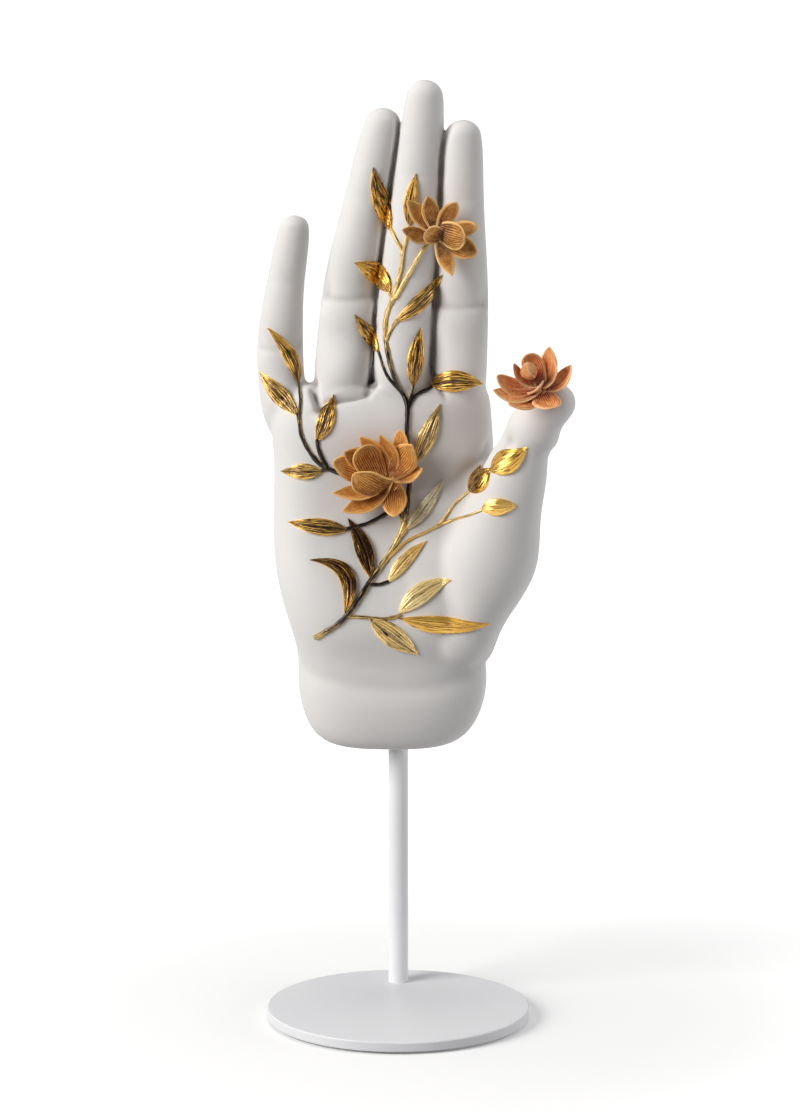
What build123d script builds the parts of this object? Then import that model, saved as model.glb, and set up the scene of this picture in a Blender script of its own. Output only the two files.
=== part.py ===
from build123d import *
import math
import os

# A right hand in white bisque porcelain, palm to the front, on a round steel stand.
# Millimetres, +Z up, palm towards -Y. The origin is the middle of the stand's underside.

# Stand
PLATE_DIAMETER = 104.0
PLATE_THICKNESS = 4.0
PLATE_EDGE_ROUND = 0.5
FELT_THICKNESS = 1.0
FELT_INSET = 1.5
ROD_DIAMETER = 8.0
ROD_SETBACK = 35.0
ROD_SHOWING = 99.0
SCREW_DIAMETER = 4.0
SCREW_HEAD_DIAMETER = 7.6
SCREW_HEAD_HEIGHT = 2.2
SCREW_IN_ROD = 11.0
SCREW_CLEARANCE = 0.2
TAPPING_DEPTH_SPARE = 2.0
THREAD_CLEARANCE = 0.04
DRIVE_WIDTH = 2.5
DRIVE_DEPTH = 1.2

# Swivel cap on the rod's top, and the socket that drops over both
ROD_IN_HAND = 48.0
SPIGOT_DIAMETER = 5.0
SPIGOT_LENGTH = 8.0
CAP_TOP_THICKNESS = 3.0
CAP_CLEARANCE = 0.05
CAP_INSET = 0.1
CAP_TOP_ROUND = 0.6
TUBE_CLEARANCE = 0.12
TUBE_WALL = 1.0
STOP_THICKNESS = 4.0
PLASTER_HEIGHT = 42.0

# Hand
HAND_HEIGHT = 265.0
PALM_WIDTH = 88.0
WRIST_DEPTH = 44.0
FINGER_WIDTH = 22.6
FINGER_DEPTH = 20.4
THUMB_WIDTH = 36.0
THUMB_DEPTH = 36.0
WALL = 4.0

# Gilt vine in low relief, and the flowers
RELIEF_HEIGHT = 1.4
STEM_WIDTH = 2.2
PALM_FLOWER_RADIUS = 20.0
FINGER_FLOWER_RADIUS = 16.0
THUMB_FLOWER_RADIUS = 17.0
PETAL_THICKNESS = 0.9
CALYX_RADIUS = 3.0
BUD_RADIUS = 3.1

PLATE_TOP = FELT_THICKNESS + PLATE_THICKNESS
WRIST_Z = PLATE_TOP + ROD_SHOWING
ROD_TOP = WRIST_Z + ROD_IN_HAND
CAP_TOP = ROD_TOP + SPIGOT_LENGTH + CAP_TOP_THICKNESS
TUBE_INNER_RADIUS = ROD_DIAMETER / 2 + TUBE_CLEARANCE
TUBE_OUTER_RADIUS = TUBE_INNER_RADIUS + TUBE_WALL

# Levels of the wrist and palm: up as a share of the hand's height, left and right of
# the rod as shares of the palm's width, front, back and hollow as shares of the wrist's depth.
PALM_LEVEL_SHARES = [
    (0.000, 0.250, 0.190, 0.290, 0.270, 0.00),
    (0.008, 0.336, 0.270, 0.395, 0.370, 0.00),
    (0.026, 0.396, 0.335, 0.458, 0.440, 0.00),
    (0.057, 0.436, 0.382, 0.492, 0.485, 0.00),
    (0.098, 0.455, 0.402, 0.495, 0.500, 0.00),
    (0.128, 0.455, 0.396, 0.490, 0.490, 0.00),
    (0.178, 0.484, 0.380, 0.570, 0.460, 0.00),
    (0.242, 0.538, 0.380, 0.570, 0.440, 0.05),
    (0.306, 0.562, 0.400, 0.480, 0.440, 0.09),
    (0.381, 0.562, 0.418, 0.390, 0.455, 0.09),
    (0.445, 0.564, 0.430, 0.350, 0.475, 0.05),
    (0.494, 0.568, 0.422, 0.320, 0.475, 0.00),
    (0.525, 0.525, 0.412, 0.260, 0.420, 0.00),
    (0.545, 0.440, 0.360, 0.140, 0.290, 0.00),
]
PALM_LEVEL_POINTS = 16
PALM_SQUARENESS = 0.82
HOLLOW_SPREAD_SHARE = 0.75

# Fingers: points from root to the middle of the rounded tip, across and deep and up as
# shares of the palm's width, the wrist's depth and the hand's height, and how broad
# each finger is beside the broadest.
FINGER_SHARES = {
    "index": (0.97, [(0.245, 0.10, 0.457), (0.272, 0.02, 0.575), (0.283, 0.00, 0.750), (0.289, -0.07, 0.916)]),
    "middle": (1.00, [(0.012, 0.08, 0.457), (0.023, -0.01, 0.600), (0.068, -0.01, 0.790), (0.117, -0.07, 0.974)]),
    "ring": (0.99, [(-0.240, 0.14, 0.457), (-0.238, 0.10, 0.610), (-0.160, 0.11, 0.790), (-0.070, 0.08, 0.931)]),
    "little": (0.82, [(-0.445, 0.18, 0.445), (-0.532, 0.13, 0.600), (-0.502, 0.10, 0.705), (-0.466, 0.07, 0.777)]),
}
# Along the finger, breadth and depth as shares of the finger's own.
FINGER_PROFILE_SHARES = [
    (0.00, 0.85, 0.80), (0.17, 1.01, 0.93), (0.31, 1.01, 1.00), (0.47, 0.99, 0.88),
    (0.62, 0.91, 0.93), (0.78, 0.80, 0.82), (0.90, 0.75, 0.80), (1.00, 0.665, 0.68),
]
# Ball of the thumb and the thumb: across, deep, up, breadth and depth as shares.
THUMB_SHARES = [
    (0.21, -0.12, 0.155, 0.66, 0.76), (0.312, -0.20, 0.196, 0.79, 0.88), (0.385, -0.27, 0.257, 0.93, 1.00),
    (0.438, -0.31, 0.325, 0.99, 0.95), (0.492, -0.34, 0.389, 0.79, 0.78), (0.541, -0.39, 0.442, 0.645, 0.64),
    (0.583, -0.43, 0.479, 0.56, 0.58), (0.637, -0.48, 0.507, 0.51, 0.54), (0.697, -0.52, 0.532, 0.45, 0.46),
]
DOME_ANGLES = [28, 50, 68, 82]

# The relief reaches back this far behind the rod's axis, as a share of the wrist's depth.
RELIEF_BACK_SHARE = 0.12
# A petal's foot beside its full breadth, and where along it is broadest.
PETAL_FOOT_SHARE = 0.30
PETAL_WIDEST_SHARE = 0.56
# How far round a flower's seat its neighbours are looked for, beside its radius.
NEAR_SHARE = 1.3

# The vine's places are measured as they look from a little above, which is lower than they
# are by these shares of the hand's height: everywhere, and more towards the heel.
SEEN_LOW_SHARE = 0.010
SEEN_LOW_HEEL_SHARE = 0.022

# Leaves: base and tip across and up, as shares of the hand's height from the rod and
# the wrist; breadth and sideways bow as shares of the leaf's length.
LEAF_SHARES = {
    "leaf_ring_upper": ((-0.011, 0.769), (-0.037, 0.861), 0.28, 0.03),
    "leaf_middle_upper": ((0.016, 0.778), (0.026, 0.854), 0.26, 0.02),
    "leaf_ring_side": ((-0.013, 0.678), (-0.065, 0.720), 0.50, -0.10),
    "leaf_middle_side": ((-0.002, 0.636), (0.066, 0.703), 0.25, -0.04),
    "leaf_ring_lower": ((-0.029, 0.588), (-0.065, 0.643), 0.31, -0.01),
    "leaf_middle_lower": ((0.022, 0.539), (0.033, 0.625), 0.27, 0.03),
    "leaf_index_base": ((0.049, 0.535), (0.124, 0.539), 0.45, 0.12),
    "leaf_palm_upper": ((0.026, 0.425), (0.062, 0.511), 0.29, 0.00),
    "leaf_little_root": ((-0.120, 0.457), (-0.096, 0.524), 0.36, -0.03),
    "leaf_little_outer": ((-0.149, 0.494), (-0.205, 0.554), 0.33, 0.02),
    "leaf_little_upper": ((-0.150, 0.538), (-0.194, 0.622), 0.22, -0.09),
    "leaf_palm_side": ((-0.113, 0.411), (-0.174, 0.407), 0.41, 0.00),
    "leaf_palm_edge": ((-0.077, 0.322), (-0.164, 0.332), 0.30, 0.00),
    "leaf_palm_centre": ((-0.041, 0.250), (-0.075, 0.339), 0.29, -0.06),
    "leaf_heel_hook": ((-0.079, 0.198), (-0.132, 0.277), 0.27, -0.35),
    "leaf_palm_blade": ((-0.015, 0.243), (0.042, 0.305), 0.24, 0.04),
    "leaf_palm_lance": ((0.022, 0.337), (0.066, 0.396), 0.23, -0.03),
    "leaf_thumb_bud": ((0.106, 0.381), (0.136, 0.421), 0.49, 0.00),
    "leaf_thumb_side": ((0.124, 0.360), (0.175, 0.368), 0.52, 0.05),
    "leaf_thumb_root": ((0.138, 0.417), (0.189, 0.457), 0.51, -0.03),
    "leaf_heel_upper": ((0.002, 0.198), (0.079, 0.250), 0.33, 0.07),
    "leaf_heel_long": ((0.006, 0.189), (0.135, 0.182), 0.21, -0.05),
    "leaf_heel_lower": ((-0.040, 0.186), (0.030, 0.131), 0.39, 0.01),
}

# Stems: runs of points in the same shares as the leaves, and each run's width at its
# start and end as shares of the main stem's.
STEM_SHARES = {
    "stem_main": [
        ([(-0.123, 0.156), (-0.078, 0.192), (-0.040, 0.247), (-0.009, 0.292), (0.009, 0.332), (0.016, 0.383),
          (0.018, 0.422), (0.013, 0.467), (0.013, 0.510), (0.000, 0.539), (-0.010, 0.566), (-0.016, 0.593),
          (-0.019, 0.621), (-0.015, 0.650), (-0.003, 0.677)], 1.0, 0.8),
        ([(-0.029, 0.590), (-0.017, 0.556), (0.001, 0.533)], 0.5, 0.6),
        ([(0.022, 0.541), (0.018, 0.518), (0.012, 0.500)], 0.5, 0.6),
        ([(0.051, 0.535), (0.025, 0.523), (0.013, 0.502)], 0.6, 0.7),
        ([(0.026, 0.427), (0.018, 0.411)], 0.6, 0.7),
        ([(0.024, 0.340), (0.010, 0.320), (-0.002, 0.303)], 0.6, 0.7),
        ([(-0.013, 0.245), (-0.028, 0.240), (-0.044, 0.240)], 0.6, 0.7),
        ([(-0.001, 0.638), (-0.011, 0.622), (-0.018, 0.604)], 0.6, 0.7),
        ([(-0.014, 0.679), (-0.010, 0.670), (-0.010, 0.660)], 0.6, 0.7),
        ([(-0.001, 0.352), (0.008, 0.333)], 0.7, 0.8),
    ],
    "stem_top_fork": [
        ([(-0.002, 0.681), (0.003, 0.708), (0.006, 0.737), (-0.002, 0.755), (-0.011, 0.773)], 0.8, 0.6),
        ([(0.006, 0.733), (0.011, 0.755), (0.016, 0.780)], 0.7, 0.5),
    ],
    "stem_finger_flower": [([(0.003, 0.680), (0.020, 0.714), (0.036, 0.741), (0.052, 0.757)], 0.8, 0.7)],
    "stem_little_branch": [
        ([(-0.070, 0.402), (-0.109, 0.417), (-0.126, 0.432), (-0.142, 0.460), (-0.146, 0.485), (-0.145, 0.518),
          (-0.150, 0.540)], 1.0, 0.5),
        ([(-0.120, 0.459), (-0.118, 0.443), (-0.106, 0.414)], 0.6, 0.9),
        ([(-0.150, 0.496), (-0.146, 0.480)], 0.5, 0.6),
        ([(-0.115, 0.411), (-0.104, 0.414)], 0.6, 0.8),
    ],
    "stem_palm_edge": [([(-0.079, 0.322), (-0.045, 0.331), (-0.014, 0.347)], 0.7, 0.8)],
    "stem_thumb_branch": [
        ([(-0.008, 0.284), (0.014, 0.305), (0.059, 0.329), (0.083, 0.360), (0.106, 0.381), (0.118, 0.398),
          (0.138, 0.418)], 0.6, 0.4),
        ([(0.055, 0.326), (0.084, 0.339), (0.126, 0.361)], 0.6, 0.4),
        ([(0.102, 0.376), (0.110, 0.385), (0.122, 0.388)], 0.5, 0.3),
    ],
    "stem_heel_branch": [
        ([(-0.074, 0.193), (-0.044, 0.191), (-0.019, 0.189), (0.004, 0.195)], 0.7, 0.6),
        ([(-0.044, 0.192), (-0.038, 0.184)], 0.5, 0.5),
        ([(-0.004, 0.192), (0.010, 0.188)], 0.5, 0.4),
    ],
}

# Flowers: radius, seat across and up as shares of the hand's height, how far its root
# stands off the skin beside the radius, the way it faces, and its petals from the middle
# outwards: where each tip lies from the root (across, deep, up) as shares of the radius,
# breadth as a share of the petal's length, and how round its cup is, as the ball's radius
# over the petal's length.
FLOWERS = {
    "palm_flower": (
        PALM_FLOWER_RADIUS, (-0.011, 0.415), 0.22, (-0.62, -0.70, 0.30),
        {
            "inner_petals": [((-0.66, -0.62, 0.00), 0.80, 0.70), ((-0.58, -0.50, 0.68), 0.84, 0.70)],
            "middle_petals": [((-0.24, -0.36, 0.90), 0.50, 0.90), ((0.40, -0.60, 0.74), 0.46, 1.00),
                              ((-0.90, -0.42, 0.57), 0.46, 0.90), ((-0.96, -0.36, -0.58), 0.44, 1.00),
                              ((0.07, -0.44, -0.68), 0.54, 0.90)],
            "outer_petals": [((0.18, -0.16, 0.97), 0.48, 1.30), ((-0.61, -0.20, 0.84), 0.44, 1.30),
                             ((-1.12, -0.22, 0.36), 0.44, 1.30), ((-1.14, -0.30, -0.22), 0.36, 1.30),
                             ((0.61, -0.34, 0.25), 0.48, 1.30)],
        },
    ),
    "finger_flower": (
        FINGER_FLOWER_RADIUS, (0.058, 0.776), 0.60, (0.20, -0.97, 0.05),
        {
            "inner_petals": [((0.63, -0.62, 0.04), 0.74, 0.75), ((-0.31, -0.60, 0.19), 0.84, 0.75),
                             ((-0.28, -0.40, 0.96), 0.46, 0.90)],
            "middle_petals": [((0.45, -0.30, 0.82), 0.48, 0.90), ((-0.83, -0.36, 0.15), 0.52, 0.90),
                              ((0.35, -0.34, -0.96), 0.40, 1.00)],
            "outer_petals": [((-0.71, -0.18, 0.83), 0.38, 1.30), ((0.97, -0.14, 0.27), 0.36, 1.30),
                             ((0.98, -0.14, -0.41), 0.46, 1.30)],
        },
    ),
    "thumb_flower": (
        THUMB_FLOWER_RADIUS, (0.208, 0.545), 0.14, (-0.36, -0.62, 0.70),
        {
            "inner_petals": [((-0.29, -0.18, 0.98), 0.86, 0.62), ((-0.57, -0.40, 0.83), 0.44, 0.90),
                             ((0.00, -0.62, 0.48), 0.44, 0.90)],
            "middle_petals": [((0.28, -0.36, 0.83), 0.36, 0.90), ((-0.95, -0.36, 0.51), 0.56, 0.80),
                              ((-0.68, -0.72, -0.06), 0.52, 0.90)],
            "outer_petals": [((0.18, -0.06, 1.14), 0.52, 0.90), ((0.67, -0.20, 0.76), 0.52, 0.90),
                             ((0.14, -0.76, -0.04), 0.66, 0.80), ((-1.08, -0.54, 0.19), 0.34, 1.00)],
        },
    ),
}
# The bud that stands in the thumb's flower, from its seat, as shares of the radius.
THUMB_BUD_SHARES = (-0.27, -0.38, 0.62)


def spot(across_share, deep_share, up_share):
    """A point of the hand from shares of its width, depth and height."""
    return Vector(
        across_share * PALM_WIDTH,
        ROD_SETBACK + deep_share * WRIST_DEPTH,
        WRIST_Z + up_share * HAND_HEIGHT,
    )


def palm_level(shares, grow):
    """One closed level of the palm, squarer than an ellipse, hollowed in front."""
    up, left, right, front, back, hollow = shares
    low = spot(-left, -front, up) - Vector(grow, grow, 0)
    high = spot(right, back, up) + Vector(grow, grow, 0)
    middle = (low + high) / 2
    half = (high - low) / 2
    points = []
    for step in range(PALM_LEVEL_POINTS):
        angle = 2 * math.pi * step / PALM_LEVEL_POINTS
        across, deep = math.cos(angle), math.sin(angle)
        x = middle.X + half.X * math.copysign(abs(across) ** PALM_SQUARENESS, across)
        y = middle.Y + half.Y * math.copysign(abs(deep) ** PALM_SQUARENESS, deep)
        if deep < 0:
            y += hollow * WRIST_DEPTH * max(0, 1 - (across / HOLLOW_SPREAD_SHARE) ** 2)
        points.append(Vector(x, y, middle.Z))
    return Face(Wire([Spline(*points, periodic=True)]))


def palm_form(grow):
    """Wrist and palm, larger all round by grow."""
    levels = [palm_level(shares, grow) for shares in PALM_LEVEL_SHARES]
    levels[0] = levels[0].moved(Location((0, 0, -grow)))
    levels[-1] = levels[-1].moved(Location((0, 0, grow)))
    return loft(levels)


def oval(middle, along, half_width, half_depth):
    """An oval face square to the way the finger runs there."""
    plane = Plane(origin=middle, x_dir=Vector(1, 0, 0) - along * along.X, z_dir=along)
    return plane * Ellipse(half_width, half_depth)


def limb(sections, grow):
    """A finger lofted through (middle, along, half width, half depth), with a round tip."""
    faces = [oval(middle, along, wide + grow, deep + grow) for middle, along, wide, deep in sections]
    middle, along, wide, deep = sections[-1]
    for angle in DOME_ANGLES:
        rise, shrink = math.sin(math.radians(angle)), math.cos(math.radians(angle))
        centre = middle + along * (wide + grow) * rise
        faces.append(oval(centre, along, (wide + grow) * shrink, (deep + grow) * shrink))
    return loft(faces)


def finger_form(name, grow):
    broad_share, path_shares = FINGER_SHARES[name]
    path = Spline(*[spot(*shares) for shares in path_shares])
    sections = []
    for along_share, width_share, depth_share in FINGER_PROFILE_SHARES:
        wide = FINGER_WIDTH / 2 * broad_share * width_share
        deep = FINGER_DEPTH / 2 * broad_share * depth_share
        sections.append((path @ along_share, path % along_share, wide, deep))
    return limb(sections, grow)


def thumb_form(grow):
    path = Spline(*[spot(*shares[:3]) for shares in THUMB_SHARES])
    sections = []
    for shares in THUMB_SHARES:
        middle = spot(*shares[:3])
        along = path % path.param_at_point(middle)
        sections.append((middle, along, THUMB_WIDTH / 2 * shares[3], THUMB_DEPTH / 2 * shares[4]))
    return limb(sections, grow)


def hand_form(grow=0.0):
    """The whole outside of the hand, larger all round by grow."""
    form = palm_form(grow) + thumb_form(grow)
    for name in FINGER_SHARES:
        form += finger_form(name, grow)
    return form


def seen(across_share, up_share):
    """Where a place of the vine that is measured from a little above lies across and up."""
    low_share = SEEN_LOW_SHARE + SEEN_LOW_HEEL_SHARE * (1 - up_share) ** 4
    return Vector(across_share * HAND_HEIGHT, WRIST_Z + (up_share + low_share) * HAND_HEIGHT)


def ribbon(point_shares, start_share, end_share):
    """A flat tapering strip along a stem's run, seen from the front."""
    points = [seen(*shares) for shares in point_shares]
    path = Spline(*points)
    left = []
    right = []
    count = len(points)
    for step in range(count):
        along_share = step / (count - 1)
        half = STEM_WIDTH / 2 * (start_share + (end_share - start_share) * along_share)
        side = (path % along_share).rotate(Axis.Z, 90) * half
        left.append(path @ along_share + side)
        right.append(path @ along_share - side)
    edges = [Spline(*left), Line(left[-1], right[-1]), Spline(*right), Line(right[0], left[0])]
    return Face(Wire(edges))


def leaf_outline(base_shares, tip_shares, breadth_share, bow_share):
    """A pointed leaf seen from the front, its middle line bowed to one side."""
    base = seen(*base_shares)
    tip = seen(*tip_shares)
    along = tip - base
    aside = along.rotate(Axis.Z, 90)
    middle = (base + tip) / 2 + aside * bow_share
    half = aside * (breadth_share / 2)
    return Face(Wire([ThreePointArc(base, middle + half, tip), ThreePointArc(tip, middle - half, base)]))


def largest(shape):
    """The biggest solid or face of what a cut leaves."""
    if shape.solids():
        return shape.solids().sort_by(SortBy.VOLUME)[-1]
    return shape.faces().sort_by(SortBy.AREA)[-1]


def relief(outline):
    """What stands proud of the hand's skin behind an outline seen from the front."""
    start = Plane.XZ.offset(-(ROD_SETBACK + RELIEF_BACK_SHARE * WRIST_DEPTH))
    prism = extrude(start * outline, amount=WRIST_DEPTH, dir=(0, -1, 0))
    return largest(prism & skin)


def petal(root, facing, radius, tip_shares, breadth_share, cup_share):
    """A thin pointed piece of a ball, from the flower's root to its tip, hollow to the middle."""
    reach = Vector(*tip_shares) * radius
    along = reach.normalized()
    inward = (facing - along * facing.dot(along)).normalized()
    plane = Plane(origin=root, x_dir=along, z_dir=inward)
    length = reach.length
    half = length * breadth_share / 2
    foot = half * PETAL_FOOT_SHARE
    widest = length * PETAL_WIDEST_SHARE
    outline = Face(Wire([
        ThreePointArc((0, foot), (widest, half), (length, 0)),
        ThreePointArc((length, 0), (widest, -half), (0, -foot)),
        Line((0, -foot), (0, foot)),
    ]))
    ball_radius = length * cup_share
    lift = math.sqrt(ball_radius ** 2 - (length / 2) ** 2)
    centre = plane.from_local_coords((length / 2, 0, lift))
    turned = Plane(origin=centre, x_dir=inward, z_dir=plane.y_dir).location
    bowl = turned * (Sphere(ball_radius) - Sphere(ball_radius - PETAL_THICKNESS))
    prism = extrude(plane.offset(-ball_radius) * outline, amount=ball_radius + lift, dir=inward)
    return largest(bowl & prism)


def seat_on_hand(across_share, up_share):
    """The point of the hand's front straight behind a place seen from the front."""
    level = WRIST_Z + up_share * HAND_HEIGHT
    near = Vector(across_share * HAND_HEIGHT, ROD_SETBACK - HAND_HEIGHT, level)
    far = Vector(across_share * HAND_HEIGHT, ROD_SETBACK, level)
    return Vector(*(Line(near, far) & hand).vertices().sort_by(Axis.Y)[0])


def boxes_meet(one, other):
    """Whether two shapes come near enough to be worth cutting."""
    box, other_box = one.bounding_box(optimal=False), other.bounding_box(optimal=False)
    gap = box.center() - other_box.center()
    room = (box.size + other_box.size) / 2
    return abs(gap.X) < room.X and abs(gap.Y) < room.Y and abs(gap.Z) < room.Z


def disc(radius, bottom, height):
    """An upright cylinder about the origin's axis."""
    return Pos(0, 0, bottom) * Cylinder(radius, height, align=(Align.CENTER, Align.CENTER, Align.MIN))


def on_rod(shape):
    """The shape moved from the origin's axis to the rod's."""
    return Pos(0, ROD_SETBACK, 0) * shape


nodes = {}

# Stand
nodes["base_felt"] = disc(PLATE_DIAMETER / 2 - FELT_INSET, 0, FELT_THICKNESS)

screw_shank = disc(SCREW_DIAMETER / 2, FELT_THICKNESS, PLATE_THICKNESS + SCREW_IN_ROD)
screw_head = Pos(0, 0, FELT_THICKNESS) * Cone(
    SCREW_HEAD_DIAMETER / 2, SCREW_DIAMETER / 2, SCREW_HEAD_HEIGHT,
    align=(Align.CENTER, Align.CENTER, Align.MIN),
)
drive = Pos(0, 0, FELT_THICKNESS) * extrude(RegularPolygon(DRIVE_WIDTH / 2, 6, major_radius=False), DRIVE_DEPTH)
nodes["rod_screw"] = on_rod(screw_shank + screw_head - drive)

plate = disc(PLATE_DIAMETER / 2, FELT_THICKNESS, PLATE_THICKNESS)
plate = fillet(plate.edges(), PLATE_EDGE_ROUND)
plate_bore = disc(SCREW_DIAMETER / 2 + SCREW_CLEARANCE, FELT_THICKNESS, PLATE_THICKNESS)
nodes["base_plate"] = plate - on_rod(plate_bore + screw_head)

rod_height = ROD_TOP - PLATE_TOP
tapped_depth = SCREW_IN_ROD + TAPPING_DEPTH_SPARE
rod = disc(ROD_DIAMETER / 2, PLATE_TOP, rod_height) + disc(SPIGOT_DIAMETER / 2, ROD_TOP, SPIGOT_LENGTH)
nodes["stand_rod"] = on_rod(rod - disc(SCREW_DIAMETER / 2 + THREAD_CLEARANCE, PLATE_TOP, tapped_depth))

cap_height = CAP_TOP - ROD_TOP
cap = disc(ROD_DIAMETER / 2 - CAP_INSET, ROD_TOP, cap_height)
cap = fillet(cap.edges().sort_by(Axis.Z)[-1], CAP_TOP_ROUND)
cap -= disc(SPIGOT_DIAMETER / 2 + CAP_CLEARANCE, ROD_TOP, SPIGOT_LENGTH + CAP_CLEARANCE)
nodes["pivot_cap"] = on_rod(cap)

# Hand: a hollow casting with the socket set in plaster inside
hand = hand_form()
relief_form = hand_form(RELIEF_HEIGHT)
skin = relief_form - hand
cavity = palm_form(-WALL)
tube_height = CAP_TOP + STOP_THICKNESS - WRIST_Z
socket_outside = on_rod(disc(TUBE_OUTER_RADIUS, WRIST_Z, tube_height))
socket_bore = on_rod(disc(TUBE_INNER_RADIUS, WRIST_Z, tube_height))
nodes["hand_shell"] = hand - cavity - socket_outside
nodes["socket_tube"] = socket_outside - socket_bore
nodes["socket_stop"] = on_rod(disc(TUBE_INNER_RADIUS, CAP_TOP, STOP_THICKNESS))
plaster_level = on_rod(Pos(0, 0, WRIST_Z) * Box(
    PALM_WIDTH, WRIST_DEPTH, WALL + PLASTER_HEIGHT, align=(Align.CENTER, Align.CENTER, Align.MIN)
))
nodes["socket_plaster"] = cavity & plaster_level - socket_outside

# Each flower grows from a small round calyx that stands on the hand's skin
roots = {}
for name, (radius, seat_shares, stand_share, facing, rings) in FLOWERS.items():
    root = seat_on_hand(*seat_shares) - Vector(0, radius * stand_share, 0)
    foot_length = radius * stand_share + 2 * CALYX_RADIUS
    foot = Plane(origin=root, z_dir=(0, 1, 0)) * Cylinder(
        CALYX_RADIUS, foot_length, align=(Align.CENTER, Align.CENTER, Align.MIN)
    )
    nodes[name + "_calyx"] = largest(foot + Pos(root) * Sphere(CALYX_RADIUS) - hand)
    roots[name] = root

# Vine: every outline is cut back to what the calyxes and the outlines before it leave
taken = Sketch() + [Pos(root.X, root.Z) * Circle(CALYX_RADIUS) for root in roots.values()]
for name, runs in STEM_SHARES.items():
    stem = largest(Sketch() + [ribbon(*run) for run in runs] - taken)
    taken += stem
    nodes[name] = relief(stem)
for name, shares in LEAF_SHARES.items():
    leaf = largest(leaf_outline(*shares) - taken)
    taken += leaf
    nodes[name] = relief(leaf)

# Petals: each is cut back to what the relief's height and the petals inside it leave
for name, (radius, seat_shares, stand_share, facing, rings) in FLOWERS.items():
    root = roots[name]
    inside = [Pos(root) * Sphere(NEAR_SHARE * radius) & relief_form, nodes[name + "_calyx"]]
    if name == "thumb_flower":
        bud = Pos(root + Vector(*THUMB_BUD_SHARES) * radius) * Sphere(BUD_RADIUS)
        nodes["thumb_flower_bud"] = bud
        inside.append(bud)
    for ring, petals in rings.items():
        group = []
        for shares in petals:
            piece = petal(root, Vector(*facing), radius, *shares)
            for other in inside:
                if boxes_meet(piece, other):
                    piece = largest(piece - other)
            inside.append(piece)
            group.append(piece)
        nodes[name + "_" + ring] = Compound(children=group)

os.makedirs("parts", exist_ok=True)
for name, shape in nodes.items():
    export_step(shape, "parts/" + name + ".step")
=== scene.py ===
import math

import bmesh
import bpy
import numpy as np
from mathutils import Matrix, Vector
from mathutils.bvhtree import BVHTree


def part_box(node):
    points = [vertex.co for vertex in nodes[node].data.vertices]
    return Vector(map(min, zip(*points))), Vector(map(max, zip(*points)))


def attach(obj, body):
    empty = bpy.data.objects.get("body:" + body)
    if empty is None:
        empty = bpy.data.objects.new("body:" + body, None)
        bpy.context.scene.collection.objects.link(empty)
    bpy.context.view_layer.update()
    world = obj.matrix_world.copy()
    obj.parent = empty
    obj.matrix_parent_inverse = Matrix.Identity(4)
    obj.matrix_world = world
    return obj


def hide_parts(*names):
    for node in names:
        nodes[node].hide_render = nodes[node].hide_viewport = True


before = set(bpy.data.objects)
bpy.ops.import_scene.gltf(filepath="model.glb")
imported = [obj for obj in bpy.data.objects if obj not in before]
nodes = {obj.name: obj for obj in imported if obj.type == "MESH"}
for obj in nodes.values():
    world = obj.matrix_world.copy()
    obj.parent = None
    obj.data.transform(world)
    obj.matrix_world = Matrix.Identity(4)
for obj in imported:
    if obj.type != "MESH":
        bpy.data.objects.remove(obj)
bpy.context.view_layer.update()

MM = 0.001

# Sizes read from the frame, and the hand's own proportions
rod_low, rod_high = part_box("stand_rod")
tube_low, tube_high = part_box("socket_tube")
shell_low, shell_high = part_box("hand_shell")
ROD_Y = (rod_low.y + rod_high.y) / 2
SOCKET_RADIUS = (tube_high.x - tube_low.x) / 2
WRIST_Z = shell_low.z
HAND_HEIGHT = shell_high.z - WRIST_Z
PALM_WIDTH = 88 * MM
WRIST_DEPTH = 44 * MM
RELIEF = 1.4 * MM
STEM_WIDTH = 2.2 * MM
FULL_VOXEL = 0.6 * MM
QUICK_VOXEL = 0.8 * MM
SKIN_VOXEL = FULL_VOXEL

# The photograph's camera, which looks a little down on the hand
CAMERA_PLACE = (0.68 * MM, -1.7, 0.4982)
CAMERA_DOWN_DEGREES = 10.383
CAMERA_FIELD_DEGREES = 14.299
CAMERA_NEAR, CAMERA_FAR = 0.05, 30

# Lights: place, size, watts and tint. A broad key in front on the left, a weak low fill on
# the right, and a lamp overhead.
LIGHTS = {
    "key": ((-1.75, -1.05, 1.10), 1.5, 54, (1.0, 0.99, 0.975)),
    "fill": ((1.9, -0.4, 0.20), 1.0, 11, (0.97, 0.98, 1.0)),
    "top": ((0.0, 0.25, 2.4), 1.3, 14, (1.0, 1.0, 1.0)),
}
# The room is brightest low down behind the hand on the right, and darkest opposite.
ROOM_BRIGHT_SIDE = (0.40, 0.80, -0.45)
ROOM_DARK, ROOM_BRIGHT = 0.05, 0.60
# The floor glows more with distance: shares of its far distance, and the glow there.
FLOOR_HALF = 14.0
FLOOR_FAR = 7.0
FLOOR_GLOWS = ((0.018, 0.17), (0.055, 0.74), (0.9, 0.97))


def spot(across_share, deep_share, up_share):
    """A point of the hand from shares of its width, depth and height."""
    return Vector((
        across_share * PALM_WIDTH,
        ROD_Y + deep_share * WRIST_DEPTH,
        WRIST_Z + up_share * HAND_HEIGHT,
    ))


def add_object(name, data):
    """An object in the scene from its data."""
    made = bpy.data.objects.new(name, data)
    bpy.context.scene.collection.objects.link(made)
    return made


def new_object(name, verts, faces):
    """A smooth mesh object in the scene from plain vertices and faces."""
    mesh = bpy.data.meshes.new(name)
    mesh.from_pydata([tuple(v) for v in verts], [], faces)
    mesh.validate()
    mesh.polygons.foreach_set("use_smooth", [True] * len(mesh.polygons))
    return add_object(name, mesh)


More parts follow.
